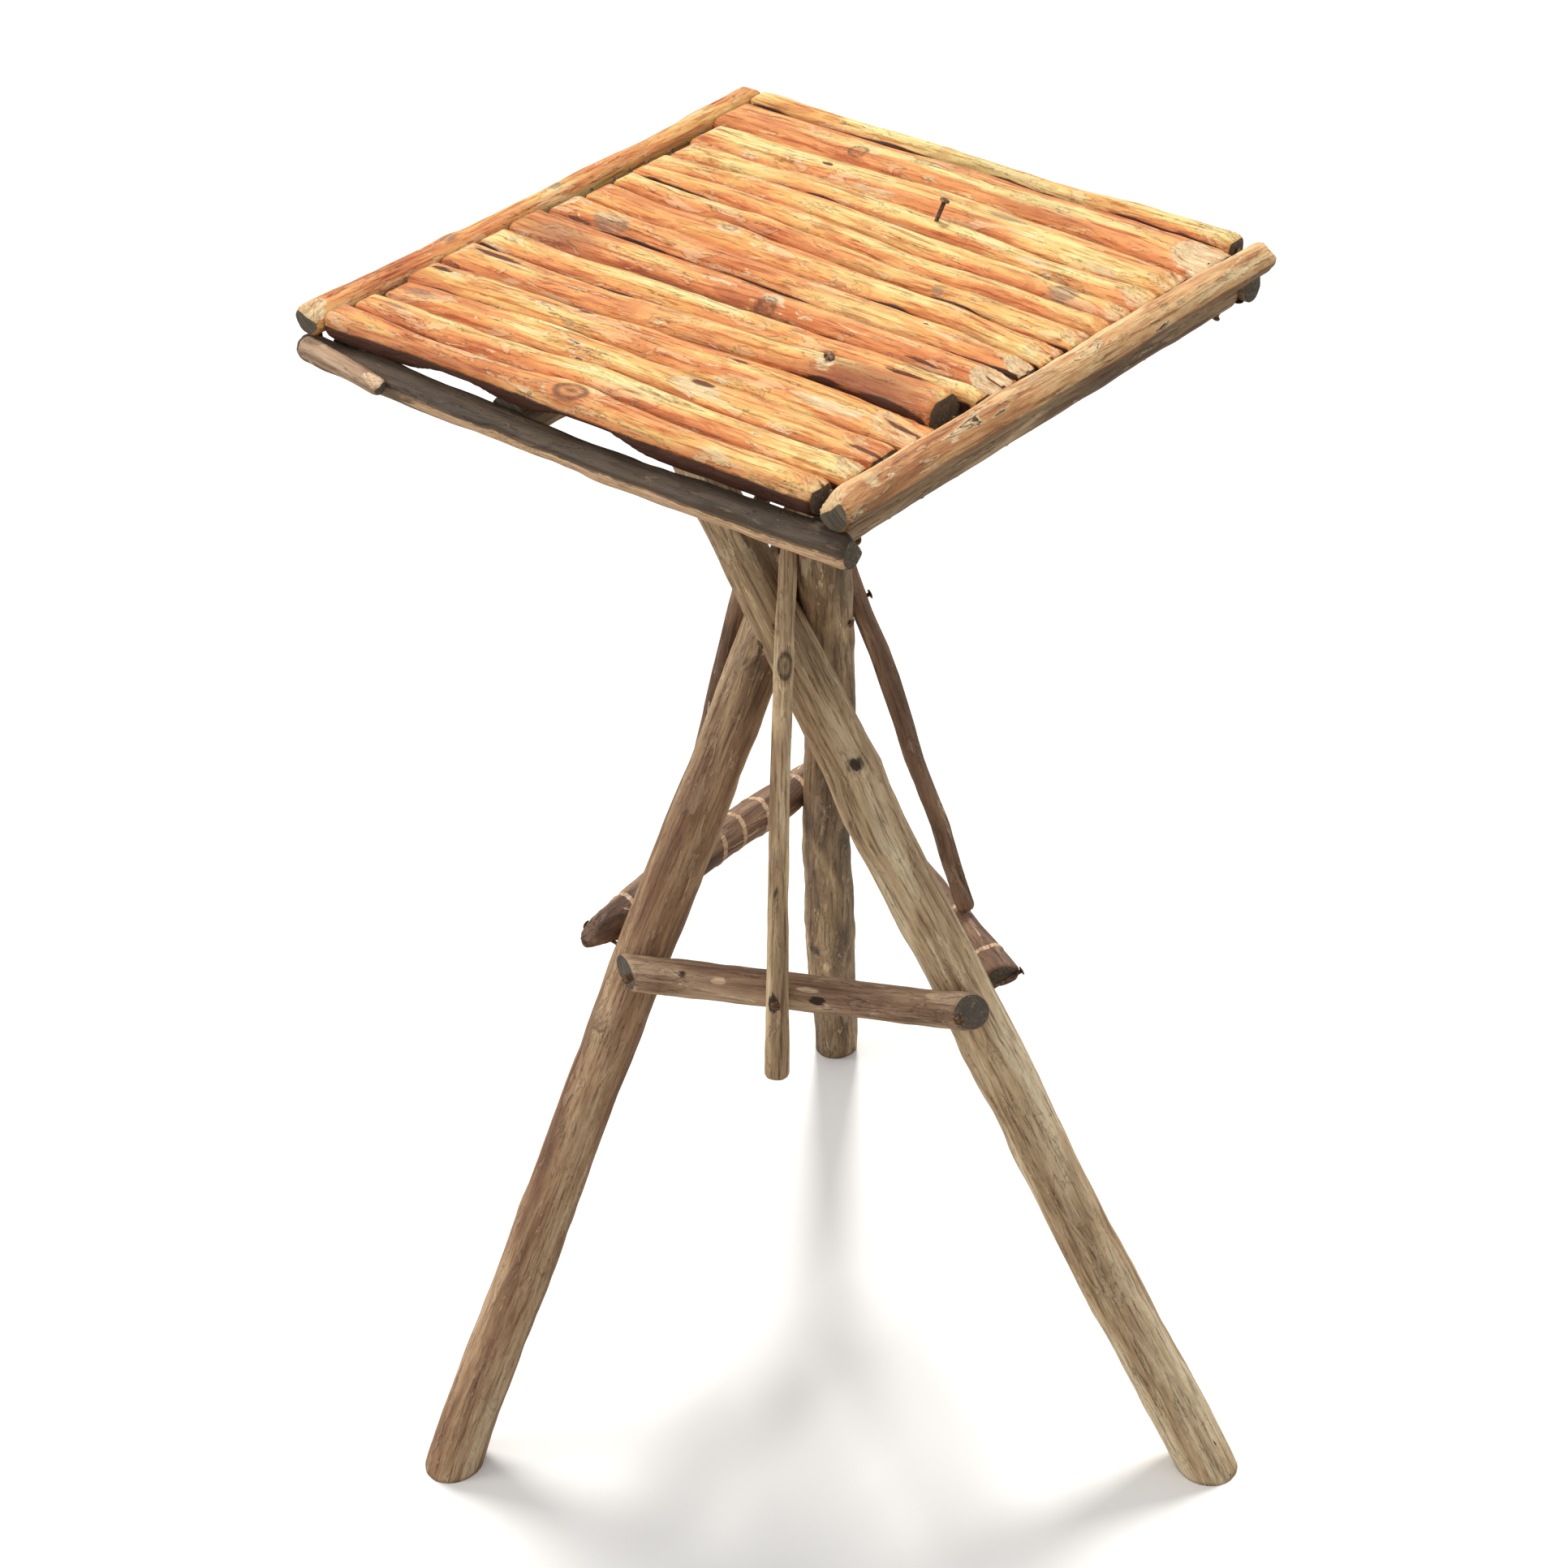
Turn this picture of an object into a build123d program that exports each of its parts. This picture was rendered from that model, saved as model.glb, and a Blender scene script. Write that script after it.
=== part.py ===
from build123d import *
import math
import os

# A rustic side table nailed together from peeled hickory sticks.
# X runs along the slats from left to right, Y from the front edge to the back edge, Z is up.
# The origin is on the floor, under the middle of the whole table. All sizes are millimetres.

# ---------------------------------------------------------------- top
slat_seat_height = 727.5      # underside of the slats above the floor
slat_thickness = 17.0         # seat to crown of a common slat
raised_slat_thickness = 23.0  # the one thick slat, at its butt end
slat_flat_share = 0.44        # height of a slat's widest line, as a share of its thickness
slat_gap = 0.8                # daylight between neighbouring slats
slat_end_gap = 0.6            # from the longest slats' ends to the side rails
left_front_edge = -179.0      # front edge of the first slat at its left end,
middle_front_edge = -178.0    # halfway along
right_front_edge = -177.0     # and at its right end

# Slats from the front edge to the back: room taken up at the left end, halfway along and at
# the right end, and how far short of the left and of the right side rail each was sawn off.
SLATS = [
    ("slat_01", 17.0, 21.0, 19.0, 0.4, 6.0),
    ("slat_02", 19.5, 21.5, 20.5, 3.5, 1.2),
    ("slat_03", 22.5, 20.0, 23.5, 5.2, 3.4),
    ("slat_04", 25.0, 28.0, 26.5, 0.7, 0.5),
    ("slat_05", 29.0, 24.5, 27.5, 0.0, 8.0),
    ("slat_06", 22.0, 18.0, 14.0, 0.0, 1.9),
    ("slat_07", 29.5, 29.5, 24.0, 0.0, 2.5),
    ("slat_08", 27.0, 19.5, 16.0, 2.5, 3.1),
    ("slat_09", 22.5, 23.5, 22.0, 6.9, 1.8),
    ("slat_10", 16.0, 17.0, 20.5, 8.2, 0.6),
    ("slat_11", 11.5, 18.0, 15.5, 7.5, 0.0),
    ("slat_12", 17.0, 20.5, 17.0, 7.9, 0.2),
    ("slat_13", 26.0, 21.0, 27.0, 10.0, 0.8),
    ("slat_14", 27.5, 31.0, 25.0, 5.5, 1.6),
    ("slat_15", 35.5, 32.0, 40.0, 0.3, 0.5),
    ("slat_16", 15.5, 11.0, 19.0, 0.0, 6.0),
]
RAISED_SLAT = "slat_05"

# Side rails, lying beside the slats on the ends of the front and back rails.
left_rail_front_dia = 17.5
left_rail_back_dia = 16.0
left_rail_front_x = -174.0
left_rail_front_y = -182.0
left_rail_back_x = -177.5
left_rail_back_y = 183.5
left_rail_bow = 3.0           # towards +X at mid length
right_rail_front_dia = 19.4
right_rail_back_dia = 16.5
right_rail_front_x = 172.0
right_rail_front_y = -179.0
right_rail_back_x = 181.5
right_rail_back_y = 174.0
right_rail_bow = 0.0

# Front and back rails, under the side rails.
front_rail_left_dia = 15.5
front_rail_right_dia = 17.5
front_rail_left_x = -180.0
front_rail_left_y = -178.5
front_rail_right_x = 182.0
front_rail_right_y = -177.0
front_rail_dip = 2.5          # bow at mid span: downwards and outwards
front_rail_bulge = 1.5
back_rail_dia = 16.0
back_rail_left_x = -184.0
back_rail_left_y = 166.0
back_rail_right_x = 181.0
back_rail_right_y = 165.0

# Bearers, butted between the front and back rails with their crowns under the slats.
side_bearer_dia = 19.0
left_bearer_front_inset = 14.0   # bearer axis inboard of the side rail's axis
left_bearer_back_inset = 15.5
right_bearer_front_inset = 11.5
right_bearer_back_inset = 13.5
centre_bearer_dia = 25.0
centre_bearer_front_x = -43.0
centre_bearer_back_x = -38.0

# Side shoot left on the front rail near its left end.
stub_root_dia = 11.0
stub_tip_dia = 8.0
stub_start = 9.0              # from the rail's left end
stub_length = 62.0
stub_stand_off = 10.5         # tip axis in front of the rail axis

# ---------------------------------------------------------------- tripod
foot_centre_x = 4.5           # middle of the three feet
foot_centre_y = 2.5
crossing_height = 538.0
crossing_x = -2.0
crossing_y = -1.0
leg_crossing_dia = 30.0
leg_top_dia = 26.5

# Angle of the foot about Z from +X in degrees, distance of the foot from the middle of the
# three, thickness at the foot, and how far the head of the leg is bent away from the straight
# line in X and in Y.
LEGS = {
    "left_leg": (-112.3, 270.0, 33.5, 9.0, 2.0),
    "right_leg": (7.7, 271.0, 34.5, 0.0, 0.0),
    "back_leg": (127.7, 274.0, 29.0, 2.0, -10.0),
}

# Stretchers, nailed to the outside of two legs: the height of the axis on each leg, the
# thickness, and how far each end runs on past the leg's axis.
front_stretcher_left_height = 325.0
front_stretcher_right_height = 317.0
front_stretcher_dia = 21.5
front_stretcher_left_reach = 10.0
front_stretcher_right_reach = 16.0
right_stretcher_front_height = 302.0
right_stretcher_back_height = 294.0
right_stretcher_dia = 20.0
right_stretcher_front_reach = -4.0
right_stretcher_back_reach = 14.0
left_stretcher_front_height = 325.0
left_stretcher_back_height = 318.0
left_stretcher_dia = 24.0
left_stretcher_front_reach = 10.0
left_stretcher_back_reach = 15.0
left_stretcher_rise = 8.0     # upward bow at mid length

# Braces, from a stretcher up to the side of a leg above the crossing: the share of the
# stretcher's length, the rise of the upper nail above the crossing, the thickness at the foot
# and at the head, and how far the stick runs on past its nails. The right brace has no run
# past its foot, because it stands on its stretcher.
front_brace_foot_share = 0.45
front_brace_head_rise = 50.0
front_brace_foot_dia = 13.0
front_brace_head_dia = 10.0
front_brace_foot_reach = 46.0
front_brace_head_reach = 24.0
front_brace_bow = 3.0         # to the left at mid length
right_brace_foot_share = 0.31
right_brace_foot_aside = 3.0  # outward from the stretcher's axis
right_brace_head_rise = -8.0
right_brace_foot_dia = 12.0
right_brace_head_dia = 11.0
right_brace_head_reach = 26.0
left_brace_foot_share = 0.5
left_brace_head_rise = 47.0
left_brace_foot_dia = 12.0
left_brace_head_dia = 10.0
left_brace_foot_reach = 14.0
left_brace_head_reach = 18.0

# ---------------------------------------------------------------- nails and fits
nail_shank_dia = 2.5
nail_head_dia = 6.0
nail_head_thickness = 1.3
slat_nail_bite = 12.0         # depth of wood that a slat's nail holds in
slanted_nail_bite = 9.5       # height above the seat that the last slat's nails reach
side_rail_bite = 13.0
rail_nail_set_back = 5.0      # corner nail inboard of the axis of the rail it starts in
rail_nail_end_margin = 5.0    # and inboard of that rail's end
toe_nail_bite = 4.0
toe_nail_length = 44.0
toe_nail_set_back = 14.0      # from a bearer's end to its toe nail
toe_nail_aside = 5.3          # toe nail beside the bearer's axis, clear of the slat nails
bearer_end_margin = 3.0       # least wood between a slat's nail and the end of a bearer
leg_nail_length = 60.0
leg_nail_aside = 5.0          # along its slat, to the right of the leg's axis
crossing_nail_length = 52.0
stretcher_nail_length = 42.0
brace_nail_length = 26.0
coped_nail_rise = 12.0        # toe nail of the standing brace above its stretcher
nail_end_distance = 8.0       # least wood between a nail and the end of a stick
nail_hole_clearance = 0.05
seat_clearance = 0.15         # between round sticks that rest on each other
brace_clearance = 0.4         # between a brace's head and its leg
butt_clearance = 0.5          # at the ends of the bearers

STICK_STATIONS = 4
SPARE = 40.0                  # run of a leg past both saw cuts before it is sawn
UP = Vector(0, 0, 1)


# ---------------------------------------------------------------- helpers
def cross_plane(point, tangent):
    """Plane square to a stick at a point of its axis."""
    side = Vector(1, 0, 0) if abs(tangent.X) < 0.8 else Vector(0, 1, 0)
    return Plane(origin=point, x_dir=side.cross(tangent), z_dir=tangent)


def bent_point(start, end, bow, share):
    """Point of a bent axis; bow is the offset vector at mid length."""
    return start + (end - start) * share + bow * (4 * share * (1 - share))


def bent_tangent(start, end, bow, share):
    return ((end - start) + bow * (4 - 8 * share)).normalized()


def stick(start, end, start_dia, end_dia, bow=Vector(0, 0, 0)):
    """A round stick that tapers evenly along a gently bent axis."""
    sections = []
    for i in range(STICK_STATIONS):
        share = i / (STICK_STATIONS - 1)
        plane = cross_plane(bent_point(start, end, bow, share), bent_tangent(start, end, bow, share))
        dia = start_dia + (end_dia - start_dia) * share
        sections.append(plane * Circle(dia / 2))
    return loft(sections)


def common_normal(first, second, hint):
    """Unit vector square to two directions, on the side of hint."""
    normal = first.cross(second).normalized()
    return normal if normal.dot(hint) > 0 else normal * -1


pieces = {}      # wooden pieces by node name
nails = {}       # groups of nails by node name


def drive_nail(group, place, direction, length, through, proud=0.0):
    """Add a nail to a group and bore its hole in each piece that it passes through.

    The underside of the head is at place, or stands proud of it, and the shank runs
    along direction.
    """
    direction = direction.normalized()
    seat = Plane(origin=place - direction * proud, z_dir=direction)
    shank = Cylinder(nail_shank_dia / 2, length, align=(Align.CENTER, Align.CENTER, Align.MIN))
    head = Cylinder(nail_head_dia / 2, nail_head_thickness,
                    align=(Align.CENTER, Align.CENTER, Align.MAX))
    hole = Cylinder(nail_shank_dia / 2 + nail_hole_clearance, length + nail_hole_clearance,
                    align=(Align.CENTER, Align.CENTER, Align.MIN))
    dent = Cylinder(nail_head_dia / 2 + nail_hole_clearance, nail_head_dia,
                    align=(Align.CENTER, Align.CENTER, Align.MAX))
    nails.setdefault(group, []).append(seat * (shank + head))
    for name in through:
        pieces[name] = pieces[name] - seat * (hole + dent)


# ---------------------------------------------------------------- front and back rails
class Rail:
    """A round stick between two end points, bent by bow at mid length."""

    def __init__(self, start, end, start_dia, end_dia, bow):
        self.start = start
        self.end = end
        self.start_dia = start_dia
        self.end_dia = end_dia
        self.bow = bow

    def solid(self):
        return stick(self.start, self.end, self.start_dia, self.end_dia, self.bow)

    def share_at_x(self, x):
        return (x - self.start.X) / (self.end.X - self.start.X)

    def share_at_y(self, y):
        return (y - self.start.Y) / (self.end.Y - self.start.Y)

    def point(self, share):
        return bent_point(self.start, self.end, self.bow, share)

    def dia(self, share):
        return self.start_dia + (self.end_dia - self.start_dia) * share


def rail_end(x, y, dia):
    """End of a rail's axis with its crown in the plane that the slats sit on."""
    return Vector(x, y, slat_seat_height - dia / 2)


front_rail = Rail(rail_end(front_rail_left_x, front_rail_left_y, front_rail_left_dia),
                  rail_end(front_rail_right_x, front_rail_right_y, front_rail_right_dia),
                  front_rail_left_dia, front_rail_right_dia,
                  Vector(0, -front_rail_bulge, -front_rail_dip))
back_rail = Rail(rail_end(back_rail_left_x, back_rail_left_y, back_rail_dia),
                 rail_end(back_rail_right_x, back_rail_right_y, back_rail_dia),
                 back_rail_dia, back_rail_dia, Vector(0, 0, 0))
cross_rails = {"front_rail": front_rail, "back_rail": back_rail}

stub_root = front_rail.point(stub_start / (front_rail_right_x - front_rail_left_x))
stub_tip = stub_root + Vector(stub_length, -stub_stand_off, 0)
pieces["front_rail"] = front_rail.solid() + stick(stub_root, stub_tip, stub_root_dia, stub_tip_dia)
pieces["back_rail"] = back_rail.solid()


# ---------------------------------------------------------------- side rails
def side_rail(front_x, front_y, front_dia, back_x, back_y, back_dia, bow):
    """A rail along Y that rests on the crowns of the front and the back rail."""
    front_share = front_rail.share_at_x(front_x)
    back_share = back_rail.share_at_x(back_x)
    front_z = front_rail.point(front_share).Z + front_rail.dia(front_share) / 2
    back_z = back_rail.point(back_share).Z + back_rail.dia(back_share) / 2
    front = Vector(front_x, front_y, front_z + seat_clearance + front_dia / 2)
    back = Vector(back_x, back_y, back_z + seat_clearance + back_dia / 2)
    return Rail(front, back, front_dia, back_dia, Vector(bow, 0, 0))


left_rail = side_rail(left_rail_front_x, left_rail_front_y, left_rail_front_dia,
                      left_rail_back_x, left_rail_back_y, left_rail_back_dia, left_rail_bow)
right_rail = side_rail(right_rail_front_x, right_rail_front_y, right_rail_front_dia,
                       right_rail_back_x, right_rail_back_y, right_rail_back_dia, right_rail_bow)
side_rails = {"left_side_rail": left_rail, "right_side_rail": right_rail}
for name, rail in side_rails.items():
    pieces[name] = rail.solid()


def inner_side_x(rail, y, side):
    """X of the side of a side rail that faces the slats; side is 1 on the left, -1 on the right."""
    share = rail.share_at_y(y)
    return rail.point(share).X + side * rail.dia(share) / 2


# ---------------------------------------------------------------- bearers
def bearer(front_x, back_x, dia):
    """A stick under the slats, butted between the front and the back rail."""
    axis_z = slat_seat_height - seat_clearance - dia / 2
    front = front_rail.point(front_rail.share_at_x(front_x))
    back = back_rail.point(back_rail.share_at_x(back_x))
    front_dia = front_rail.dia(front_rail.share_at_x(front_x))
    return Rail(Vector(front_x, front.Y + front_dia / 2 + butt_clearance, axis_z),
                Vector(back_x, back.Y - back_rail_dia / 2 - butt_clearance, axis_z),
                dia, dia, Vector(0, 0, 0))


bearers = {
    "left_bearer": bearer(left_rail_front_x + left_bearer_front_inset,
                          left_rail_back_x + left_bearer_back_inset, side_bearer_dia),
    "centre_bearer": bearer(centre_bearer_front_x, centre_bearer_back_x, centre_bearer_dia),
    "right_bearer": bearer(right_rail_front_x - right_bearer_front_inset,
                           right_rail_back_x - right_bearer_back_inset, side_bearer_dia),
}
for name, rail in bearers.items():
    pieces[name] = rail.solid()


# ---------------------------------------------------------------- slats
def slat_section(centre, width, thickness):
    """Oval outline across X, set so that the seat plane cuts it below its middle."""
    raised = centre + UP * (slat_seat_height + slat_flat_share * thickness)
    plane = Plane(origin=raised, x_dir=(0, 1, 0), z_dir=(1, 0, 0))
    return plane * Ellipse(width / 2, (1 - slat_flat_share) * thickness)


class Slat:
    """One stick of the top, through its left end, a station halfway along and its right end."""

    def __init__(self, name, front_edges, rooms, left_short, right_short):
        middles = [edge + room / 2 for edge, room in zip(front_edges, rooms)]
        left_x = inner_side_x(left_rail, middles[0], 1) + slat_end_gap + left_short
        right_x = inner_side_x(right_rail, middles[2], -1) - slat_end_gap - right_short
        self.rooms = rooms
        self.stations = [Vector(left_x, middles[0]), Vector((left_x + right_x) / 2, middles[1]),
                         Vector(right_x, middles[2])]
        butt = raised_slat_thickness if name == RAISED_SLAT else slat_thickness
        self.thicknesses = [slat_thickness, (slat_thickness + butt) / 2, butt]

    def at(self, values, x):
        """Value at a place along the slat of something known at its three stations."""
        first = 0 if x < self.stations[1].X else 1
        start, end = self.stations[first].X, self.stations[first + 1].X
        return values[first] + (values[first + 1] - values[first]) * (x - start) / (end - start)

    def middle_y(self, x):
        return self.at([station.Y for station in self.stations], x)

    def crown(self, x):
        return slat_seat_height + self.at(self.thicknesses, x)

    def solid(self):
        """Loft through the stations, then hew the underside flat on the seat plane."""
        body = loft([slat_section(station, room - slat_gap, thickness) for station, room, thickness
                     in zip(self.stations, self.rooms, self.thicknesses)])
        box = body.bounding_box()
        hewn = Box(box.size.X + SPARE, box.size.Y + SPARE, slat_thickness,
                   align=(Align.CENTER, Align.CENTER, Align.MAX))
        return body - hewn.moved(Location((box.center().X, box.center().Y, slat_seat_height)))


slats = {}
front_edges = [left_front_edge, middle_front_edge, right_front_edge]
for name, left_room, middle_room, right_room, left_short, right_short in SLATS:
    rooms = [left_room, middle_room, right_room]
    slats[name] = Slat(name, front_edges, rooms, left_short, right_short)
    pieces[name] = slats[name].solid()
    front_edges = [edge + room for edge, room in zip(front_edges, rooms)]


def slats_near(x, y):
    """Names of the two slats whose middle lines pass nearest to a point, nearest first."""
    return sorted(slats, key=lambda name: abs(slats[name].middle_y(x) - y))[:2]


# ---------------------------------------------------------------- legs
class LegAxis:
    """Axis of a leg: through its foot and the crossing, with the head bent aside."""

    def __init__(self, name, offset):
        angle, distance, self.foot_dia, bend_x, bend_y = LEGS[name]
        angle = math.radians(angle)
        out = Vector(math.cos(angle), math.sin(angle), 0)
        aside = Vector(math.sin(angle), -math.cos(angle), 0)
        self.foot = Vector(foot_centre_x, foot_centre_y, 0) + out * distance
        self.crossing = Vector(crossing_x, crossing_y, crossing_height) + aside * offset
        self.bend = Vector(bend_x, bend_y, 0)

    def point(self, height):
        share = height / crossing_height
        head = slat_seat_height / crossing_height
        bent = share ** 2 * (share - 1) / (head ** 2 * (head - 1))
        return self.foot + (self.crossing - self.foot) * share + self.bend * bent

    def direction(self, height):
        return (self.point(height + 1) - self.point(height - 1)).normalized()

    def dia(self, height):
        if height <= crossing_height:
            return self.foot_dia + (leg_crossing_dia - self.foot_dia) * height / crossing_height
        above = (height - crossing_height) / (slat_seat_height - crossing_height)
        return leg_crossing_dia + (leg_top_dia - leg_crossing_dia) * above


def nearest_points(first, second):
    """Points where two leg axes pass nearest to each other, by stepping along tangents."""
    first_height = crossing_height
    second_height = crossing_height
    for _ in range(8):
        a = first.direction(first_height)
        b = second.direction(second_height)
        gap = first.point(first_height) - second.point(second_height)
        slant = a.dot(b)
        spread = 1 - slant ** 2
        first_height += a.Z * (slant * b.dot(gap) - a.dot(gap)) / spread
        second_height += b.Z * (b.dot(gap) - slant * a.dot(gap)) / spread
    return first_height, second_height


def crossing_gap(first, second):
    """Daylight between two legs where they cross."""
    first_height, second_height = nearest_points(first, second)
    distance = (first.point(first_height) - second.point(second_height)).length
    return distance - (first.dia(first_height) + second.dia(second_height)) / 2


def lay_legs():
    """Axes of the legs, set aside from the middle until each just clears the others."""
    offset = leg_crossing_dia / 2
    for _ in range(8):
        axes = {name: LegAxis(name, offset) for name in LEGS}
        names = list(axes)
        tightest = min(crossing_gap(axes[names[i]], axes[names[i - 1]]) for i in range(3))
        offset += (seat_clearance - tightest) / 2
    return axes


legs = lay_legs()


def make_leg(axis):
    """Loft past both ends, then saw the foot on the floor and the head under the slats."""
    sections = []
    for height in (-SPARE, crossing_height / 2, crossing_height, slat_seat_height + SPARE):
        plane = cross_plane(axis.point(height), axis.direction(height))
        sections.append(plane * Circle(axis.dia(height) / 2))
    span = 4 * axis.foot.length
    slab = Box(span, span, slat_seat_height - seat_clearance,
               align=(Align.CENTER, Align.CENTER, Align.MIN))
    return loft(sections) & slab


for name, axis in legs.items():
    pieces[name] = make_leg(axis)


# ---------------------------------------------------------------- stretchers
class Stretcher:
    """A stick laid against the outer side of two legs, bowed upwards by rise."""

    def __init__(self, first_leg, first_height, second_leg, second_height, dia,
                 first_reach, second_reach, rise):
        heights = (first_height, second_height)
        names = (first_leg, second_leg)
        seats = [legs[leg].point(height) for leg, height in zip(names, heights)]
        middle = Vector(crossing_x, crossing_y, first_height)
        self.outward = common_normal(seats[1] - seats[0], UP, (seats[0] + seats[1]) * 0.5 - middle)
        self.dia = dia
        self.bow = UP * rise
        points = list(seats)
        for _ in range(6):
            run = (points[1] - points[0]).normalized()
            normals = [common_normal(run, legs[leg].direction(height), self.outward)
                       for leg, height in zip(names, heights)]
            points = [seats[i] + normals[i] * (legs[names[i]].dia(heights[i]) / 2
                                               + dia / 2 + seat_clearance) for i in (0, 1)]
        length = (points[1] - points[0]).length + first_reach + second_reach
        first_share = first_reach / length
        second_share = 1 - second_reach / length
        first_lift = self.bow * (4 * first_share * (1 - first_share))
        second_lift = self.bow * (4 * second_share * (1 - second_share))
        self.start = points[0] - run * first_reach - first_lift
        self.end = points[1] + run * second_reach - second_lift
        first_nail = max(first_reach, nail_end_distance) / length
        second_nail = 1 - max(second_reach, nail_end_distance) / length
        self.nail_places = [
            (names[0], self.point(first_nail) + normals[0] * (dia / 2), normals[0] * -1),
            (names[1], self.point(second_nail) + normals[1] * (dia / 2), normals[1] * -1),
        ]

    def point(self, share):
        return bent_point(self.start, self.end, self.bow, share)

    def tangent(self, share):
        return bent_tangent(self.start, self.end, self.bow, share)


stretchers = {
    "front_stretcher": Stretcher("left_leg", front_stretcher_left_height,
                                 "right_leg", front_stretcher_right_height, front_stretcher_dia,
                                 front_stretcher_left_reach, front_stretcher_right_reach, 0.0),
    "right_stretcher": Stretcher("right_leg", right_stretcher_front_height,
                                 "back_leg", right_stretcher_back_height, right_stretcher_dia,
                                 right_stretcher_front_reach, right_stretcher_back_reach, 0.0),
    "left_stretcher": Stretcher("left_leg", left_stretcher_front_height,
                                "back_leg", left_stretcher_back_height, left_stretcher_dia,
                                left_stretcher_front_reach, left_stretcher_back_reach,
                                left_stretcher_rise),
}
for name, stretcher in stretchers.items():
    pieces[name] = stick(stretcher.start, stretcher.end, stretcher.dia, stretcher.dia, stretcher.bow)
    for leg, place, into in stretcher.nail_places:
        drive_nail("stretcher_nails", place, into, stretcher_nail_length, (name, leg))


# ---------------------------------------------------------------- braces
def lean_brace(name, stretcher_name, foot_share, foot_side, leg, head_rise, head_side,
               foot_dia, head_dia, foot_reach, head_reach, bow):
    """A thin stick nailed against one side of a stretcher and against one side of a leg."""
    stretcher = stretchers[stretcher_name]
    head_height = crossing_height + head_rise
    foot_seat = stretcher.point(foot_share)
    head_seat = legs[leg].point(head_height)
    foot_stand_off = (stretcher.dia + foot_dia) / 2 + seat_clearance
    head_stand_off = (legs[leg].dia(head_height) + head_dia) / 2 + brace_clearance
    foot = foot_seat
    head = head_seat
    for _ in range(12):
        run = (head - foot).normalized()
        length = (head - foot).length + foot_reach + head_reach
        foot_rise = bow * (4 * foot_reach * (length - foot_reach) / length ** 2)
        head_rise_here = bow * (4 * head_reach * (length - head_reach) / length ** 2)
        foot_run = run * length + bow * (4 - 8 * foot_reach / length)
        head_run = run * length - bow * (4 - 8 * head_reach / length)
        foot_normal = common_normal(stretcher.tangent(foot_share), foot_run, foot_side)
        head_normal = common_normal(legs[leg].direction(head_height), head_run, head_side)
        foot = foot_seat + foot_normal * foot_stand_off - foot_rise
        head = head_seat + head_normal * head_stand_off - head_rise_here
    slope = (head_dia - foot_dia) / (head - foot).length
    start = foot - run * foot_reach
    end = head + run * head_reach
    pieces[name] = stick(start, end, foot_dia - slope * foot_reach, head_dia + slope * head_reach, bow)
    drive_nail("brace_nails", foot + foot_rise + foot_normal * (foot_dia / 2), foot_normal * -1,
               brace_nail_length, (name, stretcher_name))
    drive_nail("brace_nails", head + head_rise_here + head_normal * (head_dia / 2), head_normal * -1,
               brace_nail_length, (name, leg))


def stand_brace(name, stretcher_name, foot_share, foot_aside, leg, head_rise, head_side,
                foot_dia, head_dia, head_reach):
    """A thin stick coped to stand on top of a stretcher, and nailed against one side of a leg."""
    stretcher = stretchers[stretcher_name]
    head_height = crossing_height + head_rise
    head_seat = legs[leg].point(head_height)
    head_stand_off = (legs[leg].dia(head_height) + head_dia) / 2 + brace_clearance
    foot = stretcher.point(foot_share) + stretcher.outward * foot_aside
    head = head_seat
    for _ in range(12):
        run = (head - foot).normalized()
        head_normal = common_normal(legs[leg].direction(head_height), run, head_side)
        head = head_seat + head_normal * head_stand_off
    slope = (head_dia - foot_dia) / (head - foot).length
    cope_dia = stretcher.dia + 2 * seat_clearance
    cope = stick(stretcher.start, stretcher.end, cope_dia, cope_dia, stretcher.bow)
    pieces[name] = stick(foot, head + run * head_reach, foot_dia, head_dia + slope * head_reach) - cope
    place = foot + run * (stretcher.dia / 2 + coped_nail_rise) + stretcher.outward * (foot_dia / 2)
    aim = stretcher.point(foot_share) - UP * (stretcher.dia / 4)
    drive_nail("brace_nails", place, aim - place, (aim - place).length, (name, stretcher_name))
    drive_nail("brace_nails", head + head_normal * (head_dia / 2), head_normal * -1,
               brace_nail_length, (name, leg))


lean_brace("front_brace", "front_stretcher", front_brace_foot_share, stretchers["front_stretcher"].outward,
           "back_leg", front_brace_head_rise, Vector(-0.4, -0.9, 0), front_brace_foot_dia,
           front_brace_head_dia, front_brace_foot_reach, front_brace_head_reach,
           Vector(-front_brace_bow, 0, 0))
stand_brace("right_brace", "right_stretcher", right_brace_foot_share, right_brace_foot_aside,
            "back_leg", right_brace_head_rise, Vector(0.3, 0.95, 0), right_brace_foot_dia,
            right_brace_head_dia, right_brace_head_reach)
lean_brace("left_brace", "left_stretcher", left_brace_foot_share, stretchers["left_stretcher"].outward,
           "right_leg", left_brace_head_rise, Vector(0.35, 0.93, 0), left_brace_foot_dia,
           left_brace_head_dia, left_brace_foot_reach, left_brace_head_reach, Vector(0, 0, 0))

# ---------------------------------------------------------------- nails of the tripod
for over, under in (("right_leg", "left_leg"), ("right_leg", "back_leg"), ("back_leg", "left_leg")):
    over_height, under_height = nearest_points(legs[over], legs[under])
    over_point = legs[over].point(over_height)
    into = (legs[under].point(under_height) - over_point).normalized()
    place = over_point - into * (legs[over].dia(over_height) / 2)
    drive_nail("crossing_nails", place, into, crossing_nail_length, (over, under))

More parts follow.
